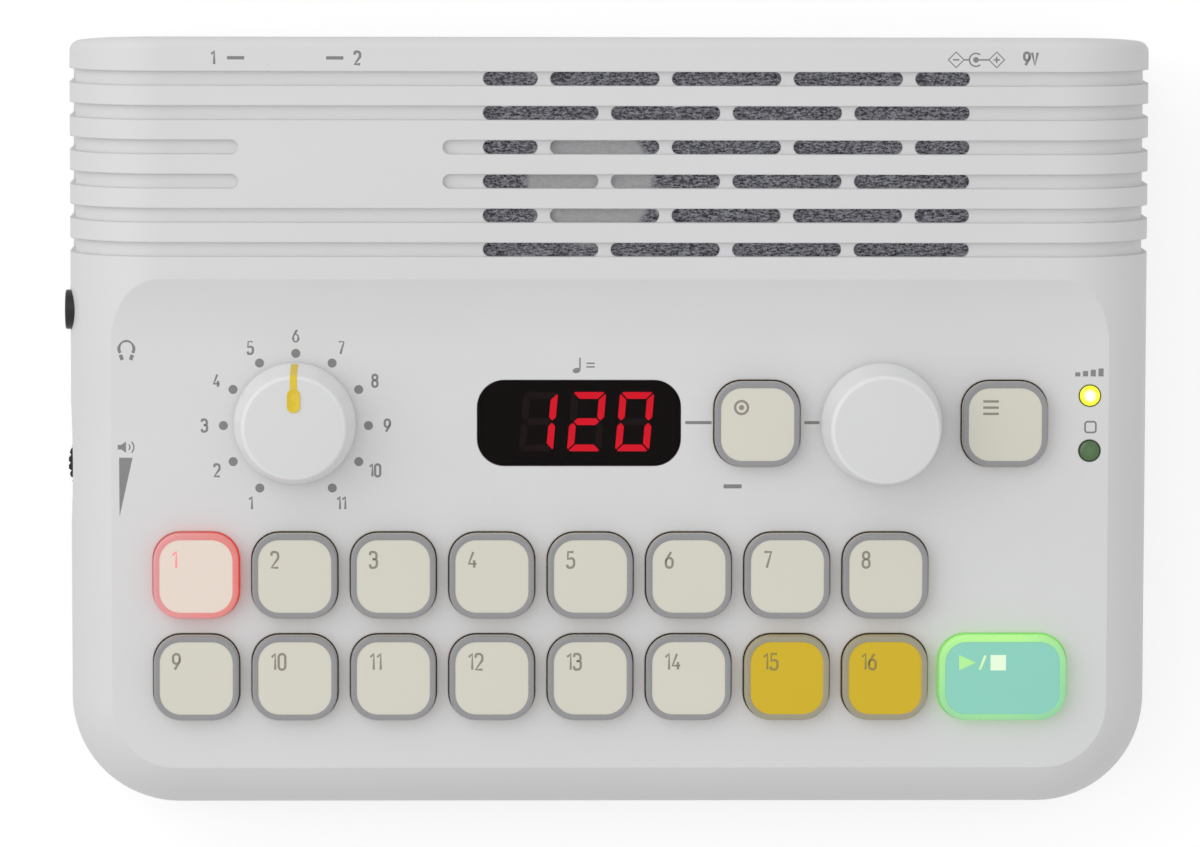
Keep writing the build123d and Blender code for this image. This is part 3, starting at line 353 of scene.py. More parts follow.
# sections are (points, w, material index of the band that ends here)
def loftLoops(bm, sections):
    rings = []
    for points, w, index in sections:
        ring = [bm.verts.new((x * mm, y * mm, w * mm)) for x, y in points]
        if rings:
            last, count = rings[-1], len(ring)
            for i in range(count):
                face = bm.faces.new((last[i], last[(i + 1) % count], ring[(i + 1) % count], ring[i]))
                face.material_index = index
        rings.append(ring)
    start = bm.faces.new(list(reversed(rings[0])))
    start.material_index = sections[0][2]
    end = bm.faces.new(rings[-1])
    end.material_index = sections[-1][2]


def sweepRise(v):  # how far the hollow sweep has climbed out of the panel's plane
    along = max(0.0, v - panel["sweepStart"])
    return panel["sweepRadius"] - sqrt(panel["sweepRadius"] ** 2 - along ** 2)


def layOnSweep(bm):
    for vert in bm.verts:
        vert.co.z += sweepRise(vert.co.y / mm) * mm


def finishPiece(name, bm, materials, body, matrix=None, smoothAngle=35.0):
    mesh = bpy.data.meshes.new(name)
    bmesh.ops.recalc_face_normals(bm, faces=bm.faces)
    for edge in bm.edges:
        if len(edge.link_faces) == 2:
            edge.smooth = edge.calc_face_angle(0.0) < radians(smoothAngle)
    for face in bm.faces:
        face.smooth = True
    bm.to_mesh(mesh)
    bm.free()
    if matrix is not None:
        mesh.transform(matrix)
    for material in materials:
        mesh.materials.append(material)
    piece = bpy.data.objects.new(name, mesh)
    bpy.context.scene.collection.objects.link(piece)
    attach(piece, body)
    return piece


def filletPath(corners, closed=False, steps=5):  # corners are (x, y) or (x, y, radius)
    pts = [Vector(c[:2]) for c in corners]
    radii = [c[2] if len(c) > 2 else 0.0 for c in corners]
    path = []
    for i, p in enumerate(pts):
        if radii[i] == 0 or (not closed and i in (0, len(pts) - 1)):
            path.append(p)
            continue
        u, v = pts[i - 1] - p, pts[(i + 1) % len(pts)] - p
        half = u.angle(v) / 2
        reach = min(radii[i] / tan(half), u.length / 2, v.length / 2)
        centre = p + (u.normalized() + v.normalized()).normalized() * (reach / cos(half))
        start = p + u.normalized() * reach - centre
        end = p + v.normalized() * reach - centre
        sweep = atan2(start.x * end.y - start.y * end.x, start.dot(end))
        path += [centre + Matrix.Rotation(sweep * k / steps, 2) @ start for k in range(steps + 1)]
    return [(p.x, p.y) for p in path]


# Printed strokes: narrow tubes pressed flat, so that each lies as a thin film of ink
def addStrokes(bm, paths, thickness, w, index, film=0.02):
    curve = bpy.data.curves.new("strokes", "CURVE")
    curve.dimensions = "3D"
    curve.bevel_depth = thickness / 2 * mm
    curve.bevel_resolution = 1
    curve.use_fill_caps = True
    for points, closed in paths:
        spline = curve.splines.new("POLY")
        spline.points.add(len(points) - 1)
        for point, (x, y) in zip(spline.points, points):
            point.co = (x * mm, y * mm, 0, 1)
        spline.use_cyclic_u = closed
    holder = bpy.data.objects.new("strokes", curve)
    mesh = bpy.data.meshes.new_from_object(holder)
    mesh.transform(Matrix.Translation((0, 0, w * mm)) @ Matrix.Diagonal((1, 1, film / (thickness / 2), 1)))
    addMesh(bm, mesh, index)
    bpy.data.objects.remove(holder)
    bpy.data.curves.remove(curve)


def addMesh(bm, mesh, index):
    before = len(bm.faces)
    bm.from_mesh(mesh)
    bm.faces.ensure_lookup_table()
    for face in bm.faces[before:]:
        face.material_index = index
    bpy.data.meshes.remove(mesh)


def addPlate(bm, points, w, index, film=0.02):
    loftLoops(bm, [(points, w - film, index), (points, w + film, index)])


# Narrow numerals and signs on a body one unit high
glyphs = {
    "0": (0.42, [([(0, 0, .21), (.42, 0, .21), (.42, 1, .21), (0, 1, .21)], True)]),
    "1": (0.24, [([(0, .80), (.22, 1), (.22, 0)], False)]),
    "2": (0.43, [([(0, .76), (0, 1, .21), (.42, 1, .21), (.42, .60, .25), (0, 0), (.43, 0)], False)]),
    "3": (0.42, [([(0, .80), (0, 1, .2), (.40, 1, .2), (.40, .54, .2), (.15, .54)], False),
                 ([(.15, .54), (.42, .54, .21), (.42, 0, .21), (0, 0, .21), (0, .22)], False)]),
    "4": (0.48, [([(.28, 1), (0, .25), (.48, .25)], False), ([(.34, .48), (.34, 0)], False)]),
    "5": (0.42, [([(.39, 1), (.04, 1), (.02, .56), (.42, .63, .21), (.42, 0, .21), (0, 0, .21), (0, .2)],
                  False)]),
    "6": (0.42, [([(0, 0, .21), (.42, 0, .21), (.42, .62, .21), (0, .62, .21)], True),
                 ([(.32, 1), (0, .46, .5), (0, .28)], False)]),
    "7": (0.43, [([(0, 1), (.43, 1), (.15, 0)], False)]),
    "8": (0.42, [([(0, 0, .21), (.42, 0, .21), (.42, .54, .21), (0, .54, .21)], True),
                 ([(.02, .54, .19), (.40, .54, .19), (.40, 1, .19), (.02, 1, .19)], True)]),
    "9": (0.42, [([(0, .38, .21), (.42, .38, .21), (.42, 1, .21), (0, 1, .21)], True),
                 ([(.10, 0), (.42, .54, .5), (.42, .72)], False)]),
    "V": (0.46, [([(0, 1), (.23, 0), (.46, 1)], False)]),
}


def writeText(text, x, y, height, centred=False, gap=0.2):
    total = sum(glyphs[c][0] for c in text) + gap * (len(text) - 1)
    start = x - height * total * (0.5 if centred else 0)
    paths = []
    for c in text:
        width, strokes = glyphs[c]
        for corners, closed in strokes:
            scaled = [(start + px * height, y + py * height, *[r * height for r in radius])
                      for px, py, *radius in corners]
            paths.append((filletPath(scaled, closed), closed))
        start += (width + gap) * height
    return paths


keys = {"pitch": 19.05, "firstX": -80.1, "rowV": (-29.5, -49.35), "count": 16, "perRow": 8, "firstYellow": 15,
        "size": 16.4, "corner": 5.2, "rise": 3.0, "edge": 0.3, "edgeSteps": 5, "ringDepth": 0.9,
        "ring": 1.15, "lip": 0.08, "lipDrop": 0.04, "faceDrop": 0.12,
        "face": ((0.02, 0.0), (0.6, 0.03), (1.6, 0.05)), "foot": 0.3, "flange": 1.0, "flangeTop": -2.5,
        "flangeBottom": -3.5, "wall": 1.6, "roof": 1.4, "stem": 2.0, "stemBottom": -3.4,
        "markX": -4.45, "markV": 1.7, "markHeight": 3.05, "markStroke": 0.48,
        "markInner": 0.002, "markOuter": 0.0045}

# each part of a key: its roughness, its coat and the light that shines through its wall
keyParts = {"Ring": {"roughness": 0.28, "coat": 0.25, "subsurface": 0.15}, "Face": {"roughness": 0.42},
            "Skirt": {"roughness": 0.3, "subsurface": 0.15}, "Mark": {"roughness": 0.5},
            "Foot": {"roughness": 0.4}}

keyColors = {
    "plain": dict(Ring="#9A9A9C", Face="#E0DDCF", Skirt="#968F84", Mark="#969085", Foot="#5E594E"),
    "yellow": dict(Ring="#A5A088", Face="#DCBB16", Skirt="#96845C", Mark="#9C8C48", Foot="#5E5538"),
    "red": dict(Ring="#CE7C7A", Face="#E8D8CC", Skirt="#D8766C", Mark="#DD7B7C", Foot="#D8766C"),
    "green": dict(Ring="#7FC48C", Face="#8CD3BF", Skirt="#96DC74", Mark="#8CD98A", Foot="#96DC74")}

# how strongly parts of a key glow: in the red and green keys this is light from the lamp beneath; on the
# plain and yellow keys the glowing skirt and foot are painted light that brightens their sides and the slit
# round them
keyLampAndPaintedGlow = {"plain": {"Skirt": 0.66, "Foot": 0.1}, "yellow": {"Skirt": 0.62, "Foot": 0.1},
           "red": {"Ring": 0.5, "Face": 0.11, "Skirt": 0.38, "Mark": 0.6, "Foot": 0.38},
           "green": {"Ring": 0.5, "Face": 0.11, "Skirt": 0.42, "Mark": 0.6, "Foot": 0.42}}

# the light in two keys is strongest near one place, on the ring and sides and on the printed marks
litKeys = {
    "red": {"Ring": ("#B88C94", "#B45C4C"), "Side": ("#CE8A88", "#F0402C"), "Mark": ("#DD7B7C", "#DD7B7C"),
            "place": (-71.8, -30.0, 3.0), "inner": 0.003, "outer": 0.019, "markPlace": (-84.0, -26.0, 3.0)},
    "green": {"Ring": ("#7FA88A", "#C9FA6E"), "Side": ("#96DC74", "#A2E886"), "Mark": ("#A4BC70", "#FBD0EB"),
              "place": (74.0, -42.0, 3.0), "inner": 0.004, "outer": 0.020, "markPlace": (75.2, -46.35, 3.0)}}


def keyMaterials(tone):
    parts, lit = [], litKeys.get(tone)
    for part, look in keyParts.items():
        color = keyColors[tone][part]
        material = mouldedPlastic(f"key{part}{tone.capitalize()}", color, tone=0.012, grain=2600.0, bump=0.15,
                                  wear=0.1, **look)
        parts.append(material)
        strength = keyLampAndPaintedGlow[tone].get(part)
        if strength is None:
            continue
        tree, shader = material.node_tree, material.node_tree.nodes["Principled BSDF"]
        shader.inputs["Emission Strength"].default_value = strength
        # keys without a lamp glow evenly in their own colour, which is painted light; the faces of the lit
        # keys glow the same way from their lamp
        if not lit or part == "Face":
            shader.inputs["Emission Color"].default_value = (*srgb(color), 1.0)
            continue
        if part == "Mark":
            spot = addSpot(tree, onPanel(*lit["markPlace"]), keys["markInner"], keys["markOuter"])
        else:
            spot = addSpot(tree, onPanel(*lit["place"]), lit["inner"], lit["outer"])
        pale, strong = lit["Side" if part in ("Skirt", "Foot") else part]
        tree.links.new(addMix(tree, spot, srgb(pale), srgb(strong)), shader.inputs["Emission Color"])
    return parts


keyTones = {tone: keyMaterials(tone) for tone in keyColors}
ringBand, faceBand, skirtBand, markBand, footBand = range(len(keyParts))


def buildKey(name, node, x, v, width, tone, marks=(), plates=()):
    k = keys
    outline = lambda inset: moved(roundedLoop(width - 2 * inset, k["size"] - 2 * inset, k["corner"] - inset),
                                  x, v)
    stem = circle(x, v, k["stem"], len(outline(0)))
    edgeFoot, faceW = k["rise"] - k["edge"], k["rise"] - k["faceDrop"]
    sections = [(stem, k["stemBottom"], footBand), (stem, k["roof"], footBand),
                (outline(k["wall"]), k["roof"], footBand), (outline(k["wall"]), k["flangeBottom"], footBand),
                (outline(-k["flange"]), k["flangeBottom"], footBand),
                (outline(-k["flange"]), k["flangeTop"], footBand), (outline(0), k["flangeTop"], footBand),
                (outline(0), k["foot"], footBand), (outline(0), edgeFoot - k["ringDepth"], skirtBand),
                (outline(0), edgeFoot, ringBand)]
    for i in range(1, k["edgeSteps"] + 1):
        a = pi / 2 * i / k["edgeSteps"]
        sections.append((outline(k["edge"] * (1 - cos(a))), k["rise"] - k["edge"] * (1 - sin(a)), ringBand))
    sections += [(outline(k["ring"] - k["lip"]), k["rise"], ringBand),
                 (outline(k["ring"]), k["rise"] - k["lipDrop"], ringBand)]
    sections += [(outline(k["ring"] + inset), faceW + lift, faceBand) for inset, lift in k["face"]]
    inkW = faceW + k["face"][-1][1]
    bm = bmesh.new()
    loftLoops(bm, sections)
    if marks:
        addStrokes(bm, marks, k["markStroke"], inkW, markBand)
    for plate in plates:
        addPlate(bm, plate, inkW, markBand)
    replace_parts(finishPiece(name, bm, keyTones[tone], node, panelFrame), node)


for number in range(1, keys["count"] + 1):
    row, column = divmod(number - 1, keys["perRow"])
    x, v = keys["firstX"] + column * keys["pitch"], keys["rowV"][row]
    yellow = number >= keys["firstYellow"]
    tone = "red" if number == 1 else "yellow" if yellow else "plain"
    marks = writeText(str(number), x + keys["markX"], v + keys["markV"], keys["markHeight"])
    buildKey(f"padKey{number:02d}", f"pad_{number:02d}", x, v, keys["size"], tone,
             marks)

startKey = {"x": 76.1, "v": -49.35, "width": 24.6, "slash": ((-4.5, 1.6), (-3.4, 4.4)),
            "play": ((-8.5, 1.5), (-5.3, 3.0), (-8.5, 4.5)),
            "stop": ((-2.4, 1.5), (0.6, 1.5), (0.6, 4.5), (-2.4, 4.5))}
x, v = startKey["x"], startKey["v"]
buildKey("startStopKey", "start_stop_key", x, v, startKey["width"], "green",
         marks=[(moved(startKey["slash"], x, v), False)],
         plates=[moved(startKey["play"], x, v), moved(startKey["stop"], x, v)])

tapKey = {"x": 28.3, "signX": -3.1, "signV": 3.3, "ring": 1.25, "dot": 0.5}
x, v = tapKey["x"] + tapKey["signX"], tapKey["signV"]
buildKey("tapKey", "tap_key", tapKey["x"], 0.0, keys["size"], "plain",
         marks=[(circle(x, v, tapKey["ring"]), True)], plates=[circle(x, v, tapKey["dot"])])

modeKey = {"x": 76.2, "signV": 3.3, "line": ((-4.3, 0.0), (-1.3, 0.0)), "lineGap": 1.2}
buildKey("modeKey", "mode_key", modeKey["x"], 0.0, keys["size"], "plain",
         marks=[(moved(modeKey["line"], modeKey["x"], modeKey["signV"] + i * modeKey["lineGap"]), False)
                for i in (-1, 0, 1)])
print("keys: 19")

# the selector and the dial: a flat top, a small rounded edge and a side that widens to the skirt
knobs = {"base": 11.78, "float": 0.8, "wall": 1.8, "edge": 0.95, "edgeSteps": 8, "foot": 0.25,
         "footBevel": 0.3, "belly": 0.12, "sideSteps": 6, "bore": 3.02, "hub": 4.8, "hubStart": 1.2,
         "sides": 96, "smooth": 50.0, "selector": {"x": -61.0, "height": 11.0, "top": 10.2},
         "dial": {"x": 52.4, "height": 14.5, "top": 10.55}}
pointer = {"width": 1.35, "rise": 0.07, "depth": 0.5, "padWidth": 2.5, "padLength": 4.5, "padFrom": 3.0,
           "padCorner": 1.15, "padRise": 0.24, "end": 1.6,
           "padRings": ((0.0, -0.08), (0.06, 0.0), (0.2, -0.02), (0.45, -0.1), (0.8, -0.17), (1.0, -0.18))}


def knobSide(size):  # radius and height along the outside, from the skirt's edge to the flat top
    k, h, top = knobs, size["height"], size["top"]
    points = [(k["base"] - k["foot"], k["float"]),
              (k["base"] - k["foot"] * k["footBevel"], k["float"] + k["foot"] * k["footBevel"]),
              (k["base"], k["float"] + k["foot"])]
    for i in range(1, k["sideSteps"]):
        share = i / k["sideSteps"]
        points.append((k["base"] + (top - k["base"]) * (share + k["belly"] * share * (share - 1)),
                       k["float"] + (h - k["edge"] - k["float"]) * share))
    for i in range(k["edgeSteps"] + 1):
        a = pi / 2 * i / k["edgeSteps"]
        points.append((top - k["edge"] * (1 - cos(a)), h - k["edge"] * (1 - sin(a))))
    return points


def buildKnob(name, node, body, size):
    k, h = knobs, size["height"]
    roof = h - k["wall"]
    inside = [(k["bore"], roof), (k["bore"], k["hubStart"]), (k["hub"], k["hubStart"]), (k["hub"], roof),
              (size["top"] - k["wall"], roof), (k["base"] - k["wall"], k["float"])]
    bm = bmesh.new()
    loftLoops(bm, [(circle(size["x"], 0, radius, k["sides"]), w, 0 if w == h else 1)
                   for radius, w in inside + knobSide(size)])
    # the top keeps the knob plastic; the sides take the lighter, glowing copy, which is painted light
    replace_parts(finishPiece(name, bm, [made["knob"], made["knobSide"]], body, panelFrame,
                            k["smooth"]), node)


# a band laid over the side and the top, and the raised pad that it ends under
def buildPointer():
    p, size = pointer, knobs["selector"]
    x, h = size["x"], size["height"]
    middle, half = p["padFrom"] + p["padLength"] / 2, p["width"] / 2
    path = [(r, w) for r, w in knobSide(size) if w > p["end"]] + [(middle, h)]
    bm = bmesh.new()
    rings = []
    for i, (r, w) in enumerate(path):
        before, after = Vector(path[max(i - 1, 0)]), Vector(path[min(i + 1, len(path) - 1)])
        out = Vector((after.y - before.y, before.x - after.x)).normalized()
        high, deep = Vector((r, w)) + out * p["rise"], Vector((r, w)) - out * p["depth"]
        rings.append([bm.verts.new(((x + s * half) * mm, q.x * mm, q.y * mm))
                      for s, q in ((-1, deep), (-1, high), (1, high), (1, deep))])
    for a, b in zip(rings, rings[1:]):
        for i in range(4):
            bm.faces.new((a[i], a[(i + 1) % 4], b[(i + 1) % 4], b[i]))
    bm.faces.new(list(reversed(rings[0])))
    bm.faces.new(rings[-1])
    outline = lambda inset: moved(roundedLoop(p["padWidth"] - 2 * inset, p["padLength"] - 2 * inset,
                                              p["padCorner"] - inset), x, middle)
    sections = [(outline(0), h - p["depth"], 0)]
    sections += [(outline(inset), h + p["padRise"] + lift, 0) for inset, lift in p["padRings"]]
    loftLoops(bm, sections)
    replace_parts(finishPiece("selectorPointer", bm, [made["pointer"]], "selector",
                            panelFrame), "selector_pointer")


buildKnob("selectorKnob", "selector_knob", "selector", knobs["selector"])
buildKnob("valueDial", "value_dial", "value_dial", knobs["dial"])
buildPointer()
print("knobs done")

printing = {
    "film": 0.012,
    "dial": {"x": -60.8, "v": -0.5, "radius": 14.0, "dots": 11, "dotRadius": 0.88, "start": 240.0,
             "step": 30.0, "numberRadius": 17.4, "numberSpread": 0.25, "numberHeight": 2.35, "stroke": 0.46},
    "lines": {"paths": [([(14.44, 0.1), (19.53, 0.1)], False), ([(37.49, 0.1), (40.4, 0.1)], False)],
              "stroke": 0.6},
    "phones": {"x": -93.45, "v": 13.9, "radius": 1.45, "lift": 0.5, "start": -35, "end": 215,
               "cup": ((1.15, -0.7), (0.8, -1.7)), "cupStroke": 0.7},
    "underline": {"path": [(21.9, -12.3), (25.4, -12.3)], "stroke": 0.8},
    "wedge": [(-94.95, -6.75), (-94.9, -18.2), (-92.35, -6.75)],
    "speaker": {"x": -93.6, "v": -4.7, "waves": (0.75, 1.5), "spread": 45, "stroke": 0.28,
                "horn": [(-1.6, -0.45), (-0.9, -0.45), (0, -1.1), (0, 1.1), (-0.9, 0.45), (-1.6, 0.45)]},
    "note": {"x": -6.6, "v": 10.2, "headWidth": 0.75, "headHeight": 0.5, "leanX": 0.1, "leanV": 0.15,
             "headSteps": 20, "stroke": 0.3,
             "paths": ([(0.65, 0.2), (0.65, 2.5)], [(1.9, 0.7), (3.5, 0.7)], [(1.9, 1.4), (3.5, 1.4)])},
    "stairs": {"count": 4, "left": 89.9, "right": 90.9, "foot": 9.1, "top": 9.9, "pitch": 1.5,
               "growth": 0.25},
    "square": {"corners": [(91.9, -1.8, .5), (94.0, -1.8, .5), (94.0, 0.3, .5), (91.9, 0.3, .5)],
               "stroke": 0.36},
}


def buildPrinting():
    p = printing
    bm = bmesh.new()
    plate = lambda points: addPlate(bm, points, 0.0, 0, p["film"])
    strokes = lambda paths, thickness: addStrokes(bm, paths, thickness, 0.0, 0, p["film"])
    s, numbers = p["dial"], []
    for i in range(s["dots"]):
        a = radians(s["start"] - s["step"] * i)
        plate(circle(s["x"] + s["radius"] * cos(a), s["v"] + s["radius"] * sin(a), s["dotRadius"]))
        cx = s["x"] + (s["numberRadius"] + s["numberSpread"] * abs(cos(a))) * cos(a)
        cy = s["v"] + s["numberRadius"] * sin(a) - s["numberHeight"] / 2
        numbers += writeText(str(i + 1), cx, cy, s["numberHeight"], centred=True)
    strokes(numbers, s["stroke"])
    # sign for earphones, and under it a loudspeaker over the wedge of the volume wheel
    s = p["phones"]
    band = arc(s["x"], s["v"] + s["lift"], s["radius"], s["start"], s["end"])
    strokes(p["lines"]["paths"] + [(band, False)], p["lines"]["stroke"])
    strokes([([(s["x"] + side * cx, s["v"] + cy) for cx, cy in s["cup"]], False) for side in (-1, 1)],
            s["cupStroke"])
    strokes([(p["underline"]["path"], False)], p["underline"]["stroke"])
    plate(p["wedge"])
    s = p["speaker"]
    plate(moved(s["horn"], s["x"], s["v"]))
    strokes([(arc(s["x"], s["v"], r, -s["spread"], s["spread"]), False) for r in s["waves"]], s["stroke"])
    # note sign over the display, letter-free signs by the two lamps
    s = p["note"]
    turns = [2 * pi * i / s["headSteps"] for i in range(s["headSteps"])]
    plate([(s["x"] + s["headWidth"] * cos(t) - s["leanX"] * sin(t),
            s["v"] + s["headHeight"] * sin(t) + s["leanV"] * cos(t)) for t in turns])
    strokes([(moved(path, s["x"], s["v"]), False) for path in s["paths"]], s["stroke"])
    s = p["stairs"]
    for i in range(s["count"]):
        left, right = s["left"] + s["pitch"] * i, s["right"] + s["pitch"] * i
        top = s["top"] + s["growth"] * i
        plate([(left, s["foot"]), (right, s["foot"]), (right, top), (left, top)])
    strokes([(filletPath(p["square"]["corners"], True), True)], p["square"]["stroke"])
    layOnSweep(bm)
    finishPiece("panelPrinting", bm, [made["greyInk"]], "case", panelFrame)


buildPrinting()

# over the sockets at the rear; the inlet's polarity is minus outside and plus on the pin
rearPrinting = {"w": 2.7, "v": 69.4, "texts": (("1", -76.5), ("2", -48.8), ("9V", 80.6)), "height": 2.4,
                "stroke": 0.52, "dashes": ((-73.8, -70.5), (-54.8, -51.5)), "dashLift": 1.2,
                "dashStroke": 0.65, "signLift": 1.0, "signStroke": 0.3, "diamonds": (66.2, 74.0),
                "diamondHalf": 1.5, "cupX": 70.0, "cupRadius": 1.25, "cupStart": 50, "cupEnd": 310,
                "cupStep": 13, "pin": 0.55, "plusHalf": 0.6,
                "bars": ((67.7, 68.8), (70.0, 72.5), (65.6, 66.8), (73.4, 74.6))}


def buildRearPrinting():
    r = rearPrinting
    bm = bmesh.new()
    strokes = lambda paths, thickness: addStrokes(bm, paths, thickness, r["w"], 0, printing["film"])
    paths = []
    for text, x in r["texts"]:
        paths += writeText(text, x, r["v"], r["height"], centred=True)
    strokes(paths, r["stroke"])
    y = r["v"] + r["dashLift"]
    strokes([([(start, y), (end, y)], False) for start, end in r["dashes"]], r["dashStroke"])
    y, half, plusX = r["v"] + r["signLift"], r["diamondHalf"], r["diamonds"][1]
    paths = [([(x - half, y), (x, y - half), (x + half, y), (x, y + half)], True) for x in r["diamonds"]]
    paths.append((arc(r["cupX"], y, r["cupRadius"], r["cupStart"], r["cupEnd"], r["cupStep"]), False))
    paths += [([(start, y), (end, y)], False) for start, end in r["bars"]]
    paths.append(([(plusX, y - r["plusHalf"]), (plusX, y + r["plusHalf"])], False))
    strokes(paths, r["signStroke"])
    addPlate(bm, circle(r["cupX"], y, r["pin"]), r["w"], 0, printing["film"])
    finishPiece("rearPrinting", bm, [made["greyInk"]], "case", panelFrame)


buildRearPrinting()
print("printing done")

display = {"x": -6.1, "width": 39.3, "height": 16.6, "corner": 5.2, "cornerSteps": 10, "top": -0.1,
           "bottom": -2.3, "edge": 0.35, "edgeSteps": 4, "glass": "#7E5C5E", "digitPitch": 9.3,
           "digitHeight": 11.45, "digitWidth": 6.6, "digitTop": -3.1, "bar": 1.3, "barDepth": 0.3,
           "slant": 5.0, "gap": 0.22, "cut": 0.38, "text": "120", "firstX": -13.9,
           # the unlit bars glow faintly grey: painted light that makes them show through the smoked window
           "litBar": ("#FA2644", 3.2, "#A01018"), "unlitBarPaintedGlow": ("#8A8C90", 0.12, "#34383A"),
           "lit": {"0": "abcdef", "1": "bc", "2": "abged"}, "moduleWidth": 37.6, "moduleHeight": 15.4,
           "moduleCorner": 0.6, "moduleFoot": -7.0, "moduleDrop": 0.15}


def segmentShapes(cx, cy):
    d = display
    h, w, t, g, cut = d["digitHeight"] / 2, d["digitWidth"] / 2, d["bar"], d["gap"], d["cut"]
    lean = tan(radians(d["slant"]))
    flat = lambda y: [(-w + t / 2 + g, y), (-w + t + g, y + t / 2), (w - t - g, y + t / 2),
                      (w - t / 2 - g, y), (w - t - g, y - t / 2), (-w + t + g, y - t / 2)]
    beam = lambda s: [(-w + g + cut, s * h), (w - g - cut, s * h), (w - g - cut / 2, s * (h - cut / 2)),
                      (w - t - g, s * (h - t)), (-w + t + g, s * (h - t)),
                      (-w + g + cut / 2, s * (h - cut / 2))]
    upright = lambda sx, sy: [(sx * w, sy * (h - g - cut)), (sx * (w - cut / 2), sy * (h - g - cut / 2)),
                              (sx * (w - t), sy * (h - t - g)), (sx * (w - t), sy * (t / 2 + g)),
                              (sx * (w - t / 2), sy * g), (sx * w, sy * (t / 2 + g))]
    shapes = {"a": beam(1), "d": beam(-1), "g": flat(0), "b": upright(1, 1), "c": upright(1, -1),
              "f": upright(-1, 1), "e": upright(-1, -1)}
    return {key: [(cx + px + py * lean, cy + py) for px, py in points] for key, points in shapes.items()}


def barMaterial(name, color, strength, dark):
    material, tree, shader = plainMaterial(name)
    grain = addGrain(tree, grain=1800.0, tone=0.05, roughness=0.4, spread=0.1)
    tree.links.new(addTone(tree, dark, grain), shader.inputs["Base Color"])
    tree.links.new(grain.outputs["Roughness"], shader.inputs["Roughness"])
    tree.links.new(addTone(tree, color, grain), shader.inputs["Emission Color"])
    shader.inputs["Emission Strength"].default_value = strength
    return material


def glassMaterial():
    material, tree, shader = plainMaterial("smokedWindow")
    haze = addGrain(tree, grain=500.0, tone=0.04, roughness=0.06, spread=0.03)
    tree.links.new(addTone(tree, display["glass"], haze), shader.inputs["Base Color"])
    tree.links.new(haze.outputs["Roughness"], shader.inputs["Roughness"])
    shader.inputs["Transmission Weight"].default_value = 1.0
    shader.inputs["IOR"].default_value = 1.2
    shader.inputs["Specular IOR Level"].default_value = 0.1
    return material


def buildDisplay():
    d = display
    # the unlit bars' faint glow is painted light
    bars = [barMaterial("displayBarLit", *d["litBar"]), barMaterial("displayBarUnlitPaintedGlow", *d["unlitBarPaintedGlow"])]
    bm = bmesh.new()
    for i, digit in enumerate(d["text"]):
        for name, points in segmentShapes(d["firstX"] + i * d["digitPitch"], 0.0).items():
            index = 1 if name in d["lit"][digit] else 2
            loftLoops(bm, [(points, d["digitTop"] - d["barDepth"], index), (points, d["digitTop"], index)])
    body = moved(roundedLoop(d["moduleWidth"], d["moduleHeight"], d["moduleCorner"], 3), d["x"], 0)
    loftLoops(bm, [(body, d["moduleFoot"], 0), (body, d["digitTop"] - d["moduleDrop"], 0)])
    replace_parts(finishPiece("displayModule", bm, [made["blackPlastic"], *bars], "case",
                            panelFrame), "display_module")
    outline = lambda inset: moved(roundedLoop(d["width"] - 2 * inset, d["height"] - 2 * inset,
                                              d["corner"] - inset, d["cornerSteps"]), d["x"], 0)
    sections = [(outline(0), d["bottom"], 0), (outline(0), d["top"] - d["edge"], 0)]
    for i in range(1, d["edgeSteps"] + 1):
        a = pi / 2 * i / d["edgeSteps"]
        sections.append((outline(d["edge"] * (1 - cos(a))), d["top"] - d["edge"] * (1 - sin(a)), 0))
    bm = bmesh.new()
    loftLoops(bm, sections)
    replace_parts(finishPiece("displayWindow", bm, [glassMaterial()], "case", panelFrame),
                "display_window")


buildDisplay()

# each lamp: a lens dome, and round it a dark ring, a painted shadow standing in for the shaded wall of its
# hole
lamps = {"x": 92.8, "radius": 1.93, "rise": 0.45, "dome": 0.5, "domeSteps": 8, "foot": -7.0, "collar": 2.18,
         "collarTop": -0.12, "sides": 40, "coreW": 0.5, "coreInner": 0.0004, "coreOuter": 0.0015, "all": (
             {"piece": "patternLamp", "node": "lamp_yellow", "v": 5.35, "tone": "Yellow", "lens": "#F4F01E",
              "core": "#FFFFF0", "strength": 0.9, "coreStrength": 1.6, "collar": "#5C6A10"},
             {"piece": "padLamp", "node": "lamp_green", "v": -5.35, "tone": "Green", "lens": "#43663A",
              "core": "#86A882", "strength": 0.08, "coreStrength": 1.3, "collar": "#2A3624"})}


def lensMaterial(lamp):
    material, tree, shader = plainMaterial("lampLens" + lamp["tone"])
    grain = addGrain(tree, grain=1500.0, tone=0.05, roughness=0.18, spread=0.06)
    spot = addSpot(tree, onPanel(lamps["x"], lamp["v"], lamps["coreW"]), lamps["coreInner"],
                   lamps["coreOuter"])
    tree.links.new(addTone(tree, lamp["lens"], grain), shader.inputs["Base Color"])
    tree.links.new(grain.outputs["Roughness"], shader.inputs["Roughness"])
    bright = tuple(c * lamp["coreStrength"] for c in srgb(lamp["core"]))
    tree.links.new(addMix(tree, spot, srgb(lamp["lens"]), bright), shader.inputs["Emission Color"])
    shader.inputs["Emission Strength"].default_value = lamp["strength"]
    shader.inputs["Coat Weight"].default_value = 0.6
    shader.inputs["Coat Roughness"].default_value = 0.05
    return material


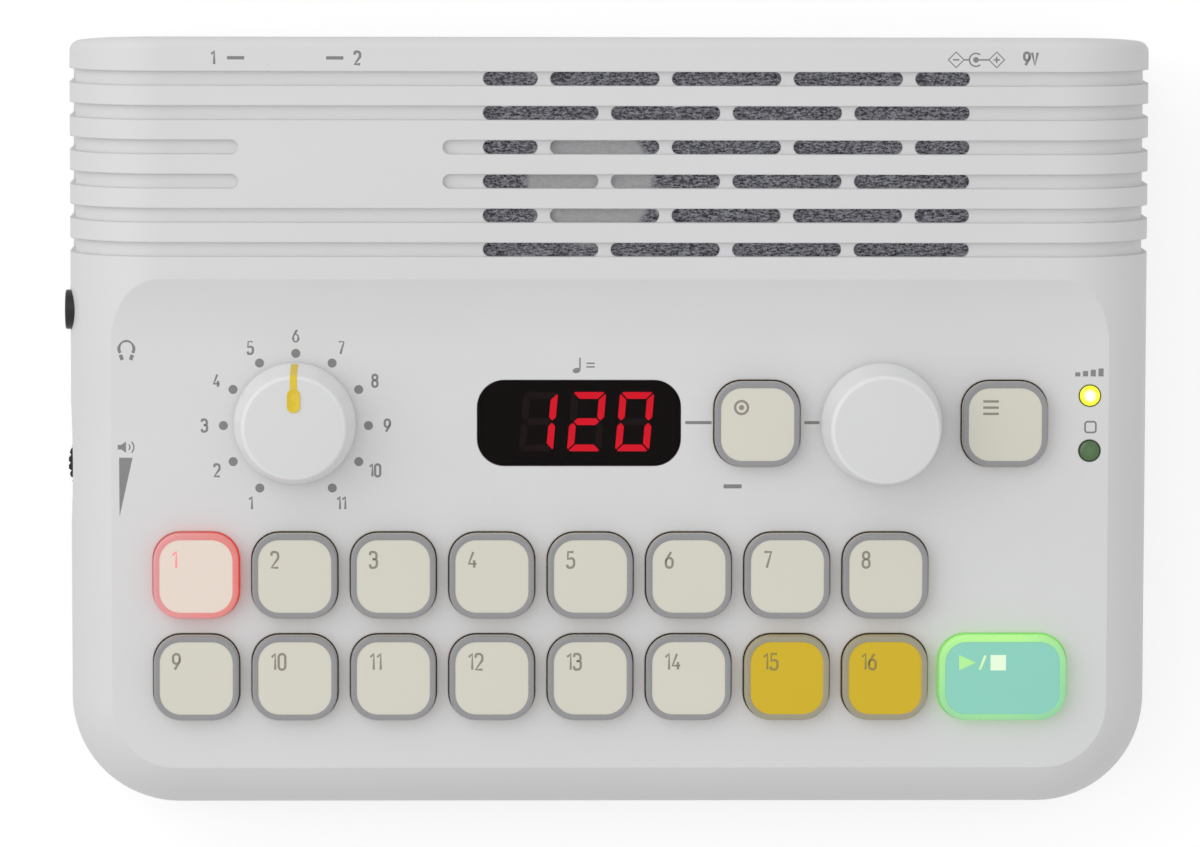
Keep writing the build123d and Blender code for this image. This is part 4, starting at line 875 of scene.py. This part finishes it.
def buildLamp(lamp):
    s = lamps
    ring = lambda radius: circle(s["x"], lamp["v"], radius, s["sides"])
    sections = [(ring(s["collar"]), s["foot"], 1), (ring(s["collar"]), s["collarTop"], 1),
                (ring(s["radius"]), s["collarTop"], 1), (ring(s["radius"]), s["rise"] - s["dome"], 0)]
    for i in range(1, s["domeSteps"]):
        a = pi / 2 * i / s["domeSteps"]
        sections.append((ring(s["radius"] * cos(a)), s["rise"] - s["dome"] * (1 - sin(a)), 0))
    bm = bmesh.new()
    loftLoops(bm, sections)
    # the dark ring round the lens: painted shadow of the hole's wall
    collar = mouldedPlastic("lampPaintedShadeRing" + lamp["tone"], lamp["collar"], roughness=0.4, tone=0.05,
                            grain=2000.0, bump=0.1)
    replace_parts(finishPiece(lamp["piece"], bm, [lensMaterial(lamp), collar], "case",
                            panelFrame), lamp["node"])


for lamp in lamps["all"]:
    buildLamp(lamp)
print("display and lamps done")

# case screws, seen up their wells in the base
screws = {"places": [(-97.4, -50.0), (97.4, -50.0), (-97.4, 57.0), (97.4, 57.0), (-30.0, -66.6),
                     (30.0, -66.6)], "head": 2.8, "headHeight": 2.0, "shank": 1.5, "arm": 1.6,
          "slotHalf": 0.42, "slotDepth": 1.2, "floorArm": 0.8, "floorHalf": 0.7, "dome": 0.35,
          "domeRings": ((2.0, 0.0), (0.4, 0.5), (0.0, 1.5)), "sides": 48}


def crossLoop(x, y, arm, half, steps):
    points = []
    for i in range(steps):
        a = 2 * pi * i / steps
        major, minor = max(abs(cos(a)), abs(sin(a))), max(min(abs(cos(a)), abs(sin(a))), 1e-6)
        reach = max(min(arm / major, half / minor), min(half / major, arm / minor))
        points.append((x + reach * cos(a), y + reach * sin(a)))
    return points


def buildScrews():
    s, steps = screws, screws["sides"]
    low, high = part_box("case_screws")
    bottom, top = low[2] / mm, high[2] / mm
    neck = bottom + s["headHeight"]
    bm = bmesh.new()
    for x, y in s["places"]:
        floor = crossLoop(x, y, s["arm"] * s["floorArm"], s["slotHalf"] * s["floorHalf"], steps)
        slot = crossLoop(x, y, s["arm"], s["slotHalf"], steps)
        sections = [(floor, bottom + s["slotDepth"], 0), (slot, bottom, 0)]
        sections += [(circle(x, y, s["head"] - inward * s["dome"], steps), bottom + upward * s["dome"], 0)
                     for inward, upward in s["domeRings"]]
        sections += [(circle(x, y, s["head"], steps), neck, 0), (circle(x, y, s["shank"], steps), neck, 0),
                     (circle(x, y, s["shank"], steps), top, 0)]
        loftLoops(bm, sections)
    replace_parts(finishPiece("caseScrews", bm, [made["steel"]], "case"), "case_screws")


buildScrews()

# felt behind the grille
felt = {"left": -27.3, "right": 71.58, "front": 29.55, "back": 70.35, "w": 0.28, "thickness": 0.6,
        "step": 0.9, "sink": 0.08, "waviness": 0.06, "waveX": 0.5, "waveV": 1.1, "waveRow": 3.0,
        "dark": ("#54545B", "#E8E8F2"), "pale": ("#F0EFF2", "#FFFFFF"), "contrast": (0.42, 0.60),
        "strands": (3000.0, 4.0, 0.75, (0.35, 1.0, 1.0)), "crossing": (4200.0, 3.0, 0.7, (0.6, 0.7, 1.0)),
        "strandShare": 0.65, "crossingShare": 0.35, "patchAt": (-4.05, 46.5), "patchInner": 0.0112,
        "patchOuter": 0.0130}


def feltMaterial():
    f = felt
    material, tree, shader = plainMaterial("greyFelt")
    place = tree.nodes.new("ShaderNodeTexCoord").outputs["Object"]
    strands = addMath(tree, "MULTIPLY", addNoise(tree, place, *f["strands"]), f["strandShare"])
    crossing = addMath(tree, "MULTIPLY", addNoise(tree, place, *f["crossing"]), f["crossingShare"])
    fibre = addMath(tree, "ADD", strands, crossing)
    contrast = addRange(tree, fibre, *f["contrast"], smooth=True)
    dark, pale = (addMix(tree, contrast, srgb(low), srgb(high)) for low, high in (f["dark"], f["pale"]))
    patch = addSpot(tree, onPanel(*f["patchAt"], f["w"]), f["patchInner"], f["patchOuter"])
    tree.links.new(addMix(tree, patch, dark, pale), shader.inputs["Base Color"])
    shader.inputs["Roughness"].default_value = 0.95
    shader.inputs["Sheen Weight"].default_value = 0.25
    shader.inputs["Specular IOR Level"].default_value = 0.15
    addBump(tree, shader, fibre, 0.8, 0.0001)
    return material


def buildFelt():
    f = felt
    width, depth = f["right"] - f["left"], f["back"] - f["front"]
    countX, countV = int(width / f["step"]), int(depth / f["step"])
    bm = bmesh.new()
    grid = []
    for j in range(countV + 1):
        row = []
        for i in range(countX + 1):
            x, v = f["left"] + width * i / countX, f["front"] + depth * j / countV
            lift = f["waviness"] * noise.noise(Vector((x * f["waveX"], v * f["waveV"], f["waveRow"])))
            row.append(bm.verts.new((x * mm, v * mm, (f["w"] - f["sink"] + lift) * mm)))
        grid.append(row)
    for j in range(countV):
        for i in range(countX):
            bm.faces.new((grid[j][i], grid[j][i + 1], grid[j + 1][i + 1], grid[j + 1][i]))
    bmesh.ops.solidify(bm, geom=bm.faces[:], thickness=f["thickness"] * mm)
    piece = finishPiece("grilleFelt", bm, [feltMaterial()], "case", panelFrame)
    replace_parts(piece, "speaker_cloth")


buildFelt()
print("felt done")

stage = {"floorSize": 3.0, "floorTone": "#ACACAC", "floorGlow": 0.68, "world": 0.69, "aim": (0, 0, 0.04),
         "lights": ({"name": "keyLight", "power": 8.5, "size": 1.8, "at": (-1.0, 0.45, 1.05)},
                    {"name": "fillLight", "power": 0.8, "size": 1.8, "at": (1.0, 0.6, 1.0)})}


def buildStage():
    s = stage
    bm = bmesh.new()
    half = s["floorSize"] / 2
    corners = ((-half, -half), (half, -half), (half, half), (-half, half))
    bm.faces.new([bm.verts.new((x, y, 0)) for x, y in corners])
    mesh = bpy.data.meshes.new("floor")
    bm.to_mesh(mesh)
    bm.free()
    floor = bpy.data.objects.new("floor", mesh)
    bpy.context.scene.collection.objects.link(floor)
    material, tree, shader = plainMaterial("paperFloor")
    shader.inputs["Base Color"].default_value = (*srgb(s["floorTone"]), 1.0)
    shader.inputs["Roughness"].default_value = 0.9
    shader.inputs["Specular IOR Level"].default_value = 0.2
    rays = tree.nodes.new("ShaderNodeLightPath")
    bounced = addMath(tree, "MAXIMUM", rays.outputs["Is Glossy Ray"], rays.outputs["Is Transmission Ray"])
    seen = addMath(tree, "MAXIMUM", rays.outputs["Is Camera Ray"], bounced)
    shader.inputs["Emission Color"].default_value = (1, 1, 1, 1)
    tree.links.new(addMath(tree, "MULTIPLY", seen, s["floorGlow"]), shader.inputs["Emission Strength"])
    mesh.materials.append(material)
    for light in s["lights"]:
        lamp = bpy.data.lights.new(light["name"], "AREA")
        lamp.energy = light["power"]
        lamp.size = light["size"]
        holder = bpy.data.objects.new(light["name"], lamp)
        holder.location = light["at"]
        holder.rotation_mode = "QUATERNION"
        holder.rotation_quaternion = (Vector(s["aim"]) - Vector(light["at"])).to_track_quat("-Z", "Y")
        bpy.context.scene.collection.objects.link(holder)
    world = bpy.data.worlds.new("softRoom")
    world.use_nodes = True
    tree = world.node_tree
    background = tree.nodes["Background"]
    background.inputs["Color"].default_value = (1, 1, 1, 1)
    rays = tree.nodes.new("ShaderNodeLightPath")
    strength = addRange(tree, rays.outputs["Is Camera Ray"], 0.0, 1.0, s["world"], 1.0)
    tree.links.new(strength, background.inputs["Strength"])
    bpy.context.scene.world = world


buildStage()

view = {"at": (-0.0289, 0.01037, 1.3478), "tilt": (-0.461, -1.183, 0.027), "lens": 201.76, "reach": 20.0}
cameraData = bpy.data.cameras.new("camera")
cameraData.lens = view["lens"]
cameraData.clip_end = view["reach"]
camera = bpy.data.objects.new("camera", cameraData)
camera.location = view["at"]
camera.rotation_euler = [radians(a) for a in view["tilt"]]
bpy.context.scene.collection.objects.link(camera)
bpy.context.scene.camera = camera
bpy.context.scene.view_settings.view_transform = "Standard"

print("stage and camera done")
